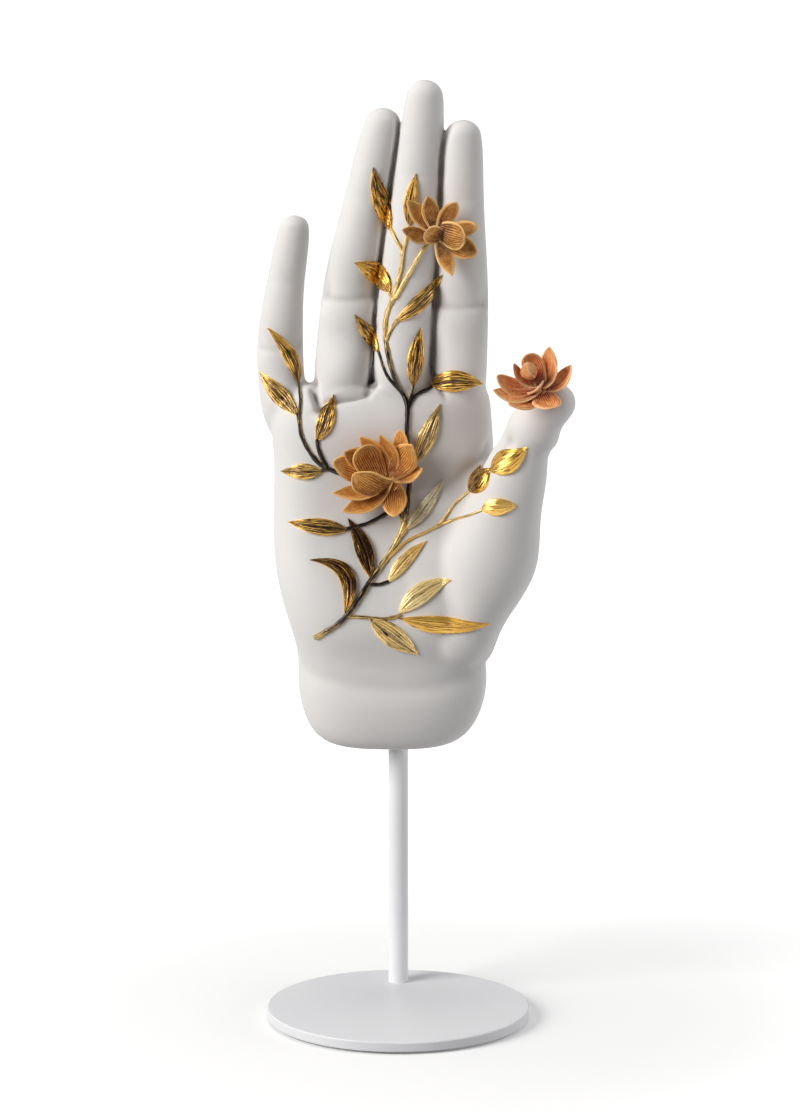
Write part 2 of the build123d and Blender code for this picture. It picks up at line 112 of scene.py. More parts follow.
def sheet_faces(rows, columns):
    """The quads of a grid of points that lie row after row."""
    wide = columns + 1
    return [
        (first, first + 1, first + wide + 1, first + wide)
        for row in range(rows) for first in range(row * wide, row * wide + columns)
    ]


def tube_faces(rows, sides, start=0, foot=True):
    """The quads of a tube whose rings lie one after another, and its closed ends."""
    faces = []
    for low in range(start, start + rows * sides, sides):
        for side in range(sides):
            after = (side + 1) % sides
            faces.append((low + side, low + after, low + sides + after, low + sides + side))
    if foot:
        faces.append(tuple(range(start + sides - 1, start - 1, -1)))
    top = start + rows * sides
    faces.append(tuple(range(top, top + sides)))
    return faces


def mesh_arrays(mesh):
    """A mesh's vertex places and edges as arrays."""
    points = np.zeros(len(mesh.vertices) * 3)
    mesh.vertices.foreach_get("co", points)
    edges = np.zeros(len(mesh.edges) * 2, dtype=np.int64)
    mesh.edges.foreach_get("vertices", edges)
    return points.reshape(-1, 3), edges.reshape(-1, 2)


def vertex_normals(mesh):
    """The way each vertex of a mesh faces."""
    normals = np.zeros(len(mesh.vertices) * 3)
    mesh.vertices.foreach_get("normal", normals)
    return normals.reshape(-1, 3)


def put_points(mesh, points):
    """Moves a mesh's vertices to the given places."""
    mesh.vertices.foreach_set("co", points.ravel())
    mesh.update()


def paint(obj, **looks):
    """Stores numbers for the vertices, one each or one for all, for the material to read."""
    for name, values in looks.items():
        stored = np.zeros(len(obj.data.vertices), dtype=np.float32)
        stored[:] = values
        obj.data.attributes.new(name, "FLOAT", "POINT").data.foreach_set("value", stored)


def neighbour_mean(points, edges):
    """The middle of each vertex's neighbours."""
    count = len(points)
    total = np.zeros_like(points)
    degree = np.bincount(edges.ravel(), minlength=count)
    for axis in range(3):
        total[:, axis] += np.bincount(edges[:, 0], points[edges[:, 1], axis], count)
        total[:, axis] += np.bincount(edges[:, 1], points[edges[:, 0], axis], count)
    return total / np.maximum(degree, 1)[:, None]


def bump(distance, width):
    """A smooth hill of height one and the given half width."""
    return np.exp(-(distance / width) ** 2)


def ramp(values, low, high):
    """Smoothly from nought at low to one at high."""
    share = np.clip((values - low) / (high - low), 0, 1)
    return share * share * (3 - 2 * share)


# Camera, light and floor


def add_camera():
    """The photograph's view."""
    data = bpy.data.cameras.new("camera")
    data.sensor_fit = "AUTO"
    data.angle = math.radians(CAMERA_FIELD_DEGREES)
    data.clip_start = CAMERA_NEAR
    data.clip_end = CAMERA_FAR
    camera = add_object("camera", data)
    camera.location = CAMERA_PLACE
    camera.rotation_euler = (math.radians(90 - CAMERA_DOWN_DEGREES), 0, 0)
    bpy.context.scene.camera = camera


def add_lights():
    """The lamps, all turned to the hand's middle, and the room's own glow."""
    middle = Vector((0, ROD_Y, WRIST_Z + HAND_HEIGHT / 2))
    for name, (place, size, watts, tint) in LIGHTS.items():
        data = bpy.data.lights.new(name, "AREA")
        data.shape = "DISK"
        data.size = size
        data.energy = watts
        data.color = tint
        light = add_object(name, data)
        light.location = place
        light.rotation_euler = (middle - Vector(place)).to_track_quat("-Z", "Y").to_euler()
    world = bpy.data.worlds.new("world")
    bpy.context.scene.world = world
    world.use_nodes = True
    tree = world.node_tree
    background = tree.nodes["Background"]
    background.inputs["Color"].default_value = (1.0, 1.0, 1.0, 1)
    direction = tree.nodes.new("ShaderNodeTexCoord")
    towards = tree.nodes.new("ShaderNodeVectorMath")
    towards.operation = "DOT_PRODUCT"
    towards.inputs[1].default_value = ROOM_BRIGHT_SIDE
    spread = tree.nodes.new("ShaderNodeMapRange")
    tree.links.new(direction.outputs["Generated"], towards.inputs[0])
    tree.links.new(towards.outputs["Value"], spread.inputs["Value"])
    tree.links.new(spread.outputs["Result"], background.inputs["Strength"])
    spread.inputs["From Min"].default_value = -1
    spread.inputs["To Min"].default_value = ROOM_DARK
    spread.inputs["To Max"].default_value = ROOM_BRIGHT
    bpy.context.scene.view_settings.view_transform = "Standard"


def add_floor():
    """A wide pale floor that runs out of the picture on every side."""
    corners = [(x * FLOOR_HALF, y * FLOOR_HALF, 0) for x, y in ((-1, -1), (1, -1), (1, 1), (-1, 1))]
    floor = new_object("floor", corners, [(0, 1, 2, 3)])
    floor.data.materials.append(floor_material())
    floor.visible_diffuse = False


# Materials


class Shader:
    """A node material under construction."""

    def __init__(self, name):
        self.material = bpy.data.materials.new(name)
        self.material.use_nodes = True
        self.tree = self.material.node_tree
        self.principled = self.tree.nodes["Principled BSDF"]
        self.coordinates = self.node("ShaderNodeTexCoord").outputs["Object"]

    def node(self, kind, **settings):
        made = self.tree.nodes.new(kind)
        for key, value in settings.items():
            if key in made.inputs:
                made.inputs[key].default_value = value
            else:
                setattr(made, key, value)
        return made

    def link(self, start, end):
        self.tree.links.new(start, end)

    def plug(self, source, socket):
        """Links another node's output to a socket, or gives it a number or a colour."""
        if hasattr(source, "links"):
            self.link(source, socket)
        else:
            socket.default_value = (*source, 1) if isinstance(source, tuple) else source

    def noise(self, scale, detail=4.0, roughness=0.5, over=None):
        made = self.node("ShaderNodeTexNoise", Scale=scale, Detail=detail, Roughness=roughness)
        self.link(over or self.coordinates, made.inputs["Vector"])
        return made.outputs["Fac"]

    def attribute(self, name):
        return self.node("ShaderNodeAttribute", attribute_name=name).outputs["Fac"]

    def ramp(self, source, stops):
        made = self.node("ShaderNodeValToRGB")
        elements = made.color_ramp.elements
        while len(elements) < len(stops):
            elements.new(0.5)
        for element, (place, colour) in zip(elements, stops):
            element.position = place
            element.color = (*colour, 1)
        self.link(source, made.inputs["Fac"])
        return made.outputs["Color"]

    def mix(self, share, one, other, mode="MIX"):
        made = self.node("ShaderNodeMix", data_type="RGBA", blend_type=mode)
        for source, socket in ((share, 0), (one, 6), (other, 7)):
            self.plug(source, made.inputs[socket])
        return made.outputs[2]

    def math(self, operation, one, other):
        made = self.node("ShaderNodeMath", operation=operation)
        self.plug(one, made.inputs[0])
        self.plug(other, made.inputs[1])
        return made.outputs[0]

    def add(self, one, other):
        return self.math("ADD", one, other)

    def times(self, one, other):
        return self.math("MULTIPLY", one, other)

    def clamp(self, source):
        """Keeps a value between nought and one."""
        made = self.node("ShaderNodeClamp")
        self.link(source, made.inputs["Value"])
        return made.outputs["Result"]

    def spread(self, source, low, high):
        """Maps nought to one onto low to high."""
        made = self.node("ShaderNodeMapRange")
        self.link(source, made.inputs["Value"])
        made.inputs["To Min"].default_value = low
        made.inputs["To Max"].default_value = high
        return made.outputs["Result"]

    def bumps(self, heights):
        """Bump nodes in a row, from a height source, a strength and a depth in metres each."""
        previous = None
        for height, strength, distance in heights:
            made = self.node("ShaderNodeBump", Strength=strength, Distance=distance)
            self.link(height, made.inputs["Height"])
            if previous:
                self.link(previous, made.inputs["Normal"])
            previous = made.outputs["Normal"]
        self.link(previous, self.principled.inputs["Normal"])

    def set(self, **values):
        for key, value in values.items():
            self.principled.inputs[key.replace("_", " ")].default_value = value

    def feed(self, socket, source):
        self.link(source, self.principled.inputs[socket])

    def tone(self, source, darker, lighter, low=0.3, high=0.7):
        """Colours the surface between two tones."""
        self.feed("Base Color", self.ramp(source, [(low, darker), (high, lighter)]))

    def rough(self, source, low, high):
        self.feed("Roughness", self.spread(source, low, high))


def floor_material():
    """Pale floor that glows more with distance, so that it stays white all the way back."""
    shader = Shader("pale_floor")
    shader.tone(shader.noise(1.5), (0.86,) * 3, (0.88,) * 3)
    distance = shader.node("ShaderNodeVectorMath", operation="LENGTH")
    shader.link(shader.coordinates, distance.inputs[0])
    share = shader.math("DIVIDE", distance.outputs["Value"], FLOOR_FAR)
    glows = [(place, (glow,) * 3) for place, glow in FLOOR_GLOWS]
    shader.feed("Emission Color", shader.ramp(share, glows))
    shader.set(Roughness=0.85, Emission_Strength=1.0)
    return shader.material


def bisque_material():
    """White unglazed porcelain: very smooth and matt, with the faintest grain, and painted shade in
    its creases and hollows.
    """
    shader = Shader("bisque")
    tones = [(0.3, (0.735, 0.715, 0.70)), (0.7, (0.765, 0.745, 0.733))]
    tone = shader.ramp(shader.noise(9, 3), tones)
    specked = shader.mix(shader.spread(shader.noise(2600, 2), 0.0, 0.06), tone, (0.62, 0.60, 0.58))
    # Painted shade: creases and hollows are darkened almost to black.
    hollow = shader.times(shader.attribute("hollow"), 0.65)
    shader.feed("Base Color", shader.mix(hollow, specked, (0.10, 0.092, 0.085)))
    shader.rough(shader.noise(60, 3), 0.58, 0.68)
    shader.set(
        Subsurface_Weight=0.06, Subsurface_Scale=0.004, Subsurface_Radius=(1.0, 0.85, 0.7),
        Specular_IOR_Level=0.35,
    )
    shader.bumps([(shader.noise(900, 3), 0.10, 0.0002), (shader.noise(45, 2), 0.05, 0.001)])
    return shader.material


def gilt_material(name, cut_black_and_dark_reflection, smooth):
    """Burnished gold over a relief, black in its cuts and streaks, and with painted dark reflection
    where its vertices are painted dark.
    """
    shader = Shader(name)
    place = shader.node("ShaderNodeCombineXYZ")
    for source, scale, socket in (("along", 5.0, "X"), ("side", 9.0, "Y"), ("mark", 1.0, "Z")):
        shader.link(shader.times(shader.attribute(source), scale), place.inputs[socket])
    streaks = shader.noise(1.0, 4.0, 0.6, place.outputs["Vector"])
    patch = shader.spread(streaks, -4.4, 3.7)
    # Painted dark reflection: the painted dark share blackens the gold, along with the streaks.
    streaks_and_dark_reflection = shader.clamp(shader.add(patch, shader.times(shader.attribute("dark"), 2.5)))
    held = shader.clamp(shader.add(shader.attribute("cut"), streaks_and_dark_reflection))
    # Paleness is partly the gold's own paler tone and partly painted highlight: paler gold is also
    # less metallic, so it shows bright under diffuse light.
    pale = shader.times(shader.attribute("pale"), 0.7)
    tone = shader.add(pale, shader.spread(shader.noise(90, 3), -0.2, 0.2))
    gold = shader.ramp(tone, [
        (0.0, (0.50, 0.22, 0.025)), (0.35, (0.88, 0.50, 0.09)),
        (0.7, (1.0, 0.77, 0.34)), (1.0, (1.0, 0.93, 0.70)),
    ])
    shader.feed("Base Color", shader.mix(held, gold, cut_black_and_dark_reflection))
    shader.feed("Metallic", shader.spread(pale, 0.92, -0.10))
    shader.rough(shader.noise(240, 3), smooth, smooth + 0.12)
    shader.set(Specular_IOR_Level=0.5)
    shader.bumps([(shader.noise(900, 2), 0.06, 0.0001), (shader.noise(120, 2), 0.06, 0.0006)])
    return shader.material


def petal_material(name, deep, root, middle, rim):
    """Matt stained porcelain: painted shade dark at the petal's root and deep in the flower,
    painted highlight pale on its rim, ridges and tip.
    """
    shader = Shader(name)
    run = shader.add(shader.attribute("along"), shader.spread(shader.noise(260, 3), -0.2, 0.2))
    pale = tuple((one + other) / 2 for one, other in zip(middle, rim))
    # Painted shade at the root and deep in the flower, painted highlight towards the tip.
    along = shader.ramp(run, [(0.0, deep), (0.28, root), (0.62, middle), (1.0, pale)])
    sway = shader.add(shader.attribute("side"), shader.spread(shader.noise(150, 2), -0.10, 0.10))
    streak = shader.math("SINE", shader.times(sway, 38.0), 0.0)
    wander = shader.spread(shader.noise(380, 4, 0.7), -2.2, 2.2)
    lines = shader.times(shader.add(streak, wander), 0.52)
    veined = shader.mix(shader.clamp(shader.add(lines, 0.05)), along, root)
    # Painted highlight: the ridges between the veins and the rim take the rim's pale tone.
    ridged = shader.mix(shader.clamp(shader.times(lines, -0.9)), veined, rim)
    rim_highlighted = shader.mix(shader.attribute("rim"), ridged, rim)
    cloud = shader.spread(shader.noise(190, 4, 0.6), 0.0, 0.25)
    shader.feed("Base Color", shader.mix(cloud, rim_highlighted, middle, "MULTIPLY"))
    shader.rough(shader.noise(300, 3), 0.50, 0.68)
    shader.set(Subsurface_Weight=0.03, Subsurface_Scale=0.001, Specular_IOR_Level=0.2)
    shader.bumps([(streak, 0.5, 0.0001), (shader.noise(1400, 3), 0.15, 0.0001)])
    return shader.material


def painted_steel_material():
    """White paint with a soft shine."""
    shader = Shader("painted_steel_look")
    shader.tone(shader.noise(20), (0.83, 0.825, 0.85), (0.86, 0.855, 0.875))
    shader.rough(shader.noise(500, 3), 0.36, 0.5)
    shader.set(Coat_Weight=0.12, Coat_Roughness=0.3)
    shader.bumps([(shader.noise(2200, 2), 0.12, 0.00008)])
    return shader.material


def plain_metal_material(name, colour, rough, grain):
    """Brass or zinc: brushed, and a little cloudy."""
    shader = Shader(name)
    shader.tone(shader.noise(130, 4), tuple(part * 0.86 for part in colour), colour)
    shader.rough(shader.noise(grain, 3), rough - 0.06, rough + 0.08)
    shader.set(Metallic=1.0)
    shader.bumps([(shader.noise(grain, 2), 0.15, 0.0001)])
    return shader.material


def dull_material(name, colour, grain, depth):
    """Felt, plaster or nylon: one tone broken up by its own grain."""
    shader = Shader(name)
    darker = tuple(part * 0.82 for part in colour)
    shader.tone(shader.noise(grain, 5, 0.65), darker, colour, low=0.35)
    shader.set(Roughness=0.9)
    shader.bumps([(shader.noise(grain, 4, 0.7), 0.6, depth)])
    return shader.material


# Hand

# Fingers as in the solid: broad beside the broadest, and points from root to tip as
# shares of the palm's width, the wrist's depth and the hand's height.
FINGER_SHARES = {
    "index": (0.97, [
        (0.245, 0.10, 0.457), (0.272, 0.02, 0.575), (0.283, 0.00, 0.750), (0.289, -0.07, 0.916),
    ]),
    "middle": (1.00, [
        (0.012, 0.08, 0.457), (0.023, -0.01, 0.600), (0.068, -0.01, 0.790), (0.117, -0.07, 0.974),
    ]),
    "ring": (0.99, [
        (-0.240, 0.14, 0.457), (-0.238, 0.10, 0.610), (-0.160, 0.11, 0.790), (-0.070, 0.08, 0.931),
    ]),
    "little": (0.82, [
        (-0.445, 0.18, 0.445), (-0.532, 0.13, 0.600), (-0.502, 0.10, 0.705), (-0.466, 0.07, 0.777),
    ]),
}
FINGER_ORDER = ("little", "ring", "middle", "index")
FINGER_HALF_WIDTH = 11.3 * MM
# The cord that closes the slit between fingers that lie together, from its foot to its top
# as shares of the hand's height
JOINED_FINGERS = (("ring", "middle"), ("middle", "index"))
CORD_RISE = (0.56, 0.90)
CORD_RADIUS = 1.8 * MM
CORD_SIDES = 8
CORD_STEPS = 40


def finger_line(name, levels):
    """Where a finger's middle line runs across and deep at the given levels."""
    spots = np.array([tuple(spot(*shares)) for shares in FINGER_SHARES[name][1]])
    return [np.interp(levels, spots[:, 2], spots[:, axis]) for axis in (0, 1)]


def add_cord(bm, one, other):
    """A thin cord down the line where two neighbouring fingers touch."""
    halves = [FINGER_SHARES[name][0] for name in (one, other)]
    verts = []
    for rise in np.linspace(*CORD_RISE, CORD_STEPS):
        level = WRIST_Z + rise * HAND_HEIGHT
        start, end = (Vector((*finger_line(name, level), level)) for name in (one, other))
        middle = start.lerp(end, halves[0] / sum(halves))
        for side in range(CORD_SIDES):
            angle = 2 * math.pi * side / CORD_SIDES
            outward = Vector((math.cos(angle), math.sin(angle), 0))
            verts.append(bm.verts.new(middle + CORD_RADIUS * outward))
    for face in tube_faces(CORD_STEPS - 1, CORD_SIDES):
        bm.faces.new([verts[corner] for corner in face])


def islands_of(faces):
    """The faces in groups that hang together."""
    todo = set(faces)
    islands = []
    while todo:
        stack = [todo.pop()]
        island = list(stack)
        while stack:
            beside = {face for edge in stack.pop().edges for face in edge.link_faces} & todo
            todo -= beside
            stack.extend(beside)
            island.extend(beside)
        islands.append(island)
    return islands


WELD = 0.002 * MM
WALL_SLACK = 0.05 * MM


def outside_alone(node):
    """The hand's outer skin, without the cavity and the socket's hole."""
    bm = bmesh.new()
    bm.from_mesh(nodes[node].data)
    bmesh.ops.remove_doubles(bm, verts=bm.verts, dist=WELD)

    def on_wall(vert):
        return abs(math.hypot(vert.co.x, vert.co.y - ROD_Y) - SOCKET_RADIUS) < WALL_SLACK

    def width(island):
        across = [vert.co.x for face in island for vert in face.verts]
        return max(across) - min(across)

    wall = [face for face in bm.faces if all(on_wall(vert) for vert in face.verts)]
    bmesh.ops.delete(bm, geom=wall, context="FACES")
    islands = sorted(islands_of(bm.faces), key=width)
    inner = [face for island in islands[:-1] for face in island]
    bmesh.ops.delete(bm, geom=inner, context="FACES")
    bmesh.ops.holes_fill(bm, edges=[edge for edge in bm.edges if edge.is_boundary])
    for one, other in JOINED_FINGERS:
        add_cord(bm, one, other)
    mesh = bpy.data.meshes.new("outside")
    bm.to_mesh(mesh)
    bm.free()
    return mesh


def remeshed(mesh, voxel):
    """The same closed form in small even squares."""
    helper = add_object("helper", mesh)
    modifier = helper.modifiers.new("remesh", "REMESH")
    modifier.mode = "VOXEL"
    modifier.voxel_size = voxel
    graph = bpy.context.evaluated_depsgraph_get()
    made = bpy.data.meshes.new_from_object(helper.evaluated_get(graph))
    bpy.data.objects.remove(helper)
    return made


def fill_creases(points, edges, normals, weight, rounds):
    """Rounds only hollows, so that grown-together forms flow into each other."""
    for _ in range(rounds):
        step = neighbour_mean(points, edges) - points
        outward = np.sum(step * normals, axis=1)
        points += step * (weight * 0.5 * (outward > 0))[:, None]
    return points


def relax(points, edges, weight, rounds):
    """Draws each vertex towards the middle of its neighbours."""
    for _ in range(rounds):
        points += (neighbour_mean(points, edges) - points) * (weight * 0.5)[:, None]
    return points


# Creases on the palm side: level as a share of the hand's height, depth, and how far the
# hollow reaches up and down from it. The pads above and below stand a little proud.
FINGER_CREASES = {
    "index": [(0.667, 1.30 * MM, 8.0 * MM, 1.5 * MM), (0.825, 0.20 * MM, 3.0 * MM, 1.3 * MM)],
    "middle": [(0.712, 0.30 * MM, 6.0 * MM, 1.6 * MM), (0.860, 0.16 * MM, 3.0 * MM, 1.3 * MM)],
    "ring": [(0.678, 1.90 * MM, 11.0 * MM, 1.8 * MM), (0.825, 0.22 * MM, 3.0 * MM, 1.3 * MM)],
    "little": [(0.600, 0.90 * MM, 6.5 * MM, 1.5 * MM), (0.700, 0.18 * MM, 2.6 * MM, 1.2 * MM)],
}
# How far a finger reaches from its middle line, in half widths, and where fingers begin
FINGER_REACH = 1.02
FINGER_FOOT = 0.46
# The fine wrinkles over each joint behind, by their place in wrinkle spacings
WRINKLES = (-1.6, -0.5, 0.6, 1.7)
WRINKLE_SPACING = 1.6 * MM
GREATEST_KNUCKLE = 0.4 * MM
# Nails: the fingers' tops and the nail's length as shares of the hand's height, its half
# width in the finger's, and how far it stands up and its rim sinks
FINGER_TOPS = {"index": 0.948, "middle": 1.0, "ring": 0.962, "little": 0.804}
NAIL_LENGTH_SHARE = 0.052
LITTLE_NAIL = 0.8
NAIL_HALF_WIDTH = 0.62
NAIL_RISE = 0.30 * MM
NAIL_RIM = 0.28 * MM

# Folds of the palm side: places across and up as shares of the hand's height, depth at
# each place in millimetres, and half width.
PALM_FOLDS = [
    # under the ring finger's pad
    ([(-0.128, 0.508), (-0.110, 0.521), (-0.085, 0.530), (-0.060, 0.535), (-0.046, 0.539),
      (-0.038, 0.549), (-0.035, 0.566)], [0.3, 1.6, 2.8, 3.2, 3.2, 2.6, 1.0], 1.5 * MM),
    # the valley between the little finger and the ring finger, run on into the palm
    ([(-0.129, 0.556), (-0.124, 0.532), (-0.116, 0.512)], [4.0, 5.0, 2.0], 1.3 * MM),
    # web of the thumb, and the crease round the ball of the thumb
    ([(0.158, 0.475), (0.138, 0.455), (0.112, 0.430), (0.080, 0.408), (0.048, 0.375),
      (0.020, 0.325), (0.008, 0.270), (0.010, 0.215)],
     [1.6, 1.8, 1.3, 0.7, 0.45, 0.35, 0.25, 0.0], 3.0 * MM),
    # bend of the wrist, bowed down in the middle
    ([(-0.168, 0.140), (-0.120, 0.117), (-0.060, 0.105), (0.000, 0.101), (0.060, 0.104),
      (0.105, 0.115), (0.150, 0.142)], [0.5, 0.8, 0.8, 0.7, 0.8, 0.9, 0.7], 4.2 * MM),
]
# Hollows and mounds of the palm side: place across and up as shares of the hand's
# height, half widths across and up, and height.
PALM_MOUNDS = [
    (-0.022, 0.300, 0.052, 0.125, -1.6 * MM),
    (0.060, 0.260, 0.055, 0.100, 0.9 * MM),
    (-0.115, 0.270, 0.050, 0.120, 0.7 * MM),
    (-0.062, 0.582, 0.034, 0.034, 1.8 * MM),
    (0.000, 0.065, 0.120, 0.030, 0.8 * MM),
]
# Behind: heights of the knuckles, of the cords that run from them, and the dips between
KNUCKLE_RISE = 1.5 * MM
BACK_CORD_RISE = 0.7 * MM
DIP_DEPTH = 0.9 * MM
# Grooves between the fingers: depth, half width, where they begin as shares of the hand's
# height, and the greatest share of the web's thickness that one side of it may lose.
GROOVE_DEPTH = 3.5 * MM
GROOVE_WIDTH = 1.1 * MM
GROOVE_START = (0.52, 0.56)
GROOVE_SHARE = 0.3
# The valley between two fingers is looked for at this many levels between these shares of
# the hand's height, and smoothed over a span of them.
GAP_RISE = (0.53, 0.97)
GAP_LEVELS = 60
GAP_SPAN = 9
# How far the wall round the socket's mouth runs up inside
SOCKET_WALL = 8 * MM
# Depth of a hollow that is painted fully dark as painted shade
FULL_SHADE_DEPTH = 0.5 * MM


def from_front(tree, x, z):
    """Where a ray from the front meets the hand at (x, z), and the way it faces there."""
    start = Vector((x, ROD_Y - HAND_HEIGHT, z))
    place, normal, _, _ = tree.ray_cast(start, Vector((0, 1, 0)))
    return place, normal


def along_run(points, places, depths):
    """How far each vertex lies from a run of places seen from the front, and the depth there."""
    nearest = np.full(len(points), np.inf)
    depth = np.zeros(len(points))
    flat = points[:, [0, 2]]
    spots = [np.array((x * HAND_HEIGHT, WRIST_Z + up * HAND_HEIGHT)) for x, up in places]
    for one, other, depth_one, depth_other in zip(spots, spots[1:], depths, depths[1:]):
        step = other - one
        share = np.clip((flat - one) @ step / (step @ step), 0, 1)
        gap = np.linalg.norm(flat - one - share[:, None] * step, axis=1)
        closer = gap < nearest
        nearest = np.where(closer, gap, nearest)
        depth = np.where(closer, depth_one + (depth_other - depth_one) * share, depth)
    return nearest, depth * MM


def finger_gap(one, other, tree, z):
    """Where the valley between two neighbouring fingers runs across, at the given heights."""
    levels = np.linspace(*(WRIST_Z + rise * HAND_HEIGHT for rise in GAP_RISE), GAP_LEVELS)
    valley = []
    for level, left, right in zip(levels, *(finger_line(name, levels)[0] for name in (one, other))):
        reached = []
        for across in np.linspace(left, right, GAP_LEVELS):
            place, _ = from_front(tree, across, level)
            reached.append((place.y if place else HAND_HEIGHT, across))
        deepest = max(reached)[0]
        valley.append(np.mean([across for deep, across in reached if deep == deepest]))
    ends = np.pad(valley, GAP_SPAN // 2, mode="edge")
    steady = np.convolve(ends, np.full(GAP_SPAN, 1 / GAP_SPAN), mode="valid")
    return np.interp(z, levels, steady)


def sculpt_hand(points, normals):
    """Offsets along the normal for pads, creases, folds, wrinkles and nails."""
    offset = np.zeros(len(points))
    z = points[:, 2]
    behind = normals[:, 1] > 0
    front = ramp(-normals[:, 1], 0.05, 0.6)
    back = ramp(normals[:, 1], 0.1, 0.7)
    for name, creases in FINGER_CREASES.items():
        half = FINGER_HALF_WIDTH * FINGER_SHARES[name][0]
        across = (points[:, 0] - finger_line(name, z)[0]) / half
        own = (np.abs(across) < FINGER_REACH) & (z > WRIST_Z + FINGER_FOOT * HAND_HEIGHT)
        for level_share, depth, above, below in creases:
            level = WRIST_Z + level_share * HAND_HEIGHT - 0.5 * MM * np.cos(across * 2)
            high = z - level
            crease = np.where(high > 0, bump(high, above), bump(high, below))
            pad_below = 0.45 * bump(high + 4.5 * below, below * 3)
            pad_above = 0.25 * bump(high - 2.2 * above, above * 1.2)
            offset += own * front * depth * (pad_below + pad_above - crease)
            knuckle = min(depth, GREATEST_KNUCKLE)
            bowed = high + 0.3 * MM * across ** 2
            for wrinkle in WRINKLES:
                line = bump(bowed - wrinkle * WRINKLE_SPACING, 0.55 * MM)
                offset -= own * back * knuckle * 0.35 * line
            offset += own * back * knuckle * 1.8 * bump(high, 8 * MM)
        top = WRIST_Z + FINGER_TOPS[name] * HAND_HEIGHT
        length = NAIL_LENGTH_SHARE * HAND_HEIGHT * (LITTLE_NAIL if name == "little" else 1.0)
        up = (z - top + length * 0.72) / (length / 2)
        round_off = np.abs(up) ** 3 + np.abs(across / NAIL_HALF_WIDTH) ** 3
        offset += own * behind * NAIL_RISE * ramp(1.25 - round_off, 0.0, 0.3)
        offset -= own * behind * NAIL_RIM * bump(round_off - 1.15, 0.30)
    for places, depths, width in PALM_FOLDS:
        gap, depth = along_run(points, places, depths)
        offset -= front * depth * bump(gap, width)
    for across, up, wide, tall, height in PALM_MOUNDS:
        aside = (points[:, 0] - across * HAND_HEIGHT) / (wide * HAND_HEIGHT)
        above = (z - WRIST_Z - up * HAND_HEIGHT) / (tall * HAND_HEIGHT)
        offset += front * height * np.exp(-aside ** 2 - above ** 2)
    return offset


def sculpt_back(points, normals):
    """Knuckles and the faint cords that run from them over the back of the hand."""
    offset = np.zeros(len(points))
    back = ramp(normals[:, 1], 0.3, 0.8)
    x, z = points[:, 0], points[:, 2]
    roots = [spot(*FINGER_SHARES[name][1][0]) for name in FINGER_ORDER]
    for root in roots:
        knuckle = root.z - 0.010 * HAND_HEIGHT
        offset += back * KNUCKLE_RISE * bump(z - knuckle, 9 * MM) * bump(x - root.x, 7.5 * MM)
        share = np.clip((knuckle - z) / (0.42 * HAND_HEIGHT), 0, 1)
        cord = bump(x - root.x * (1 - 0.75 * share), 2.6 * MM)
        cord *= ramp(share, 0.0, 0.10) * ramp(1 - share, 0.1, 0.6)
        offset += back * BACK_CORD_RISE * cord
    for one, other in zip(roots, roots[1:]):
        level = z - WRIST_Z - 0.47 * HAND_HEIGHT
        dip = bump(x - (one.x + other.x) / 2, 4.5 * MM) * bump(level, 14 * MM)
        offset -= back * DIP_DEPTH * dip
    return offset


def groove_depths(points, facing, groove, tree):
    """How far each vertex sinks into a groove, so that the web between two fingers stays whole."""
    depths = GROOVE_DEPTH * groove * (0.35 + 0.65 * (facing < 0))
    for index in np.flatnonzero(depths > 0.05 * MM):
        inward = Vector((0, -facing[index], 0))
        start = Vector(points[index]) + inward * 0.02 * MM
        _, _, _, thickness = tree.ray_cast(start, inward)
        if thickness is not None:
            depths[index] = min(depths[index], GROOVE_SHARE * thickness)
    return depths


def mesh_tree(mesh):
    """A mesh as a tree that rays can be shot at."""
    points, _ = mesh_arrays(mesh)
    polygons = [tuple(polygon.vertices) for polygon in mesh.polygons]
    return BVHTree.FromPolygons([tuple(point) for point in points], polygons)


def open_socket(mesh):
    """Opens the skin round the socket's tube, with a short wall up along the tube."""
    bm = bmesh.new()
    bm.from_mesh(mesh)
    axis = Vector((0, ROD_Y, 0))

    def covers(face):
        centre = face.calc_center_median()
        return centre.z < WRIST_Z + SOCKET_WALL and (centre - axis).xy.length < SOCKET_RADIUS

    covering = [face for face in bm.faces if covers(face)]
    bmesh.ops.delete(bm, geom=covering, context="FACES")
    rim = {vert for edge in bm.edges if edge.is_boundary for vert in edge.verts}
    for vert in rim:
        outward = (vert.co - axis).xy.normalized() * SOCKET_RADIUS
        vert.co.x, vert.co.y = outward.x, ROD_Y + outward.y
    bmesh.ops.remove_doubles(bm, verts=list(rim), dist=SKIN_VOXEL / 5)
    bmesh.ops.dissolve_degenerate(bm, edges=bm.edges, dist=SKIN_VOXEL / 50)
    edges = [edge for edge in bm.edges if edge.is_boundary]
    for part in bmesh.ops.extrude_edge_only(bm, edges=edges)["geom"]:
        if isinstance(part, bmesh.types.BMVert):
            part.co.z = WRIST_Z + SOCKET_WALL
    bm.to_mesh(mesh)
    bm.free()


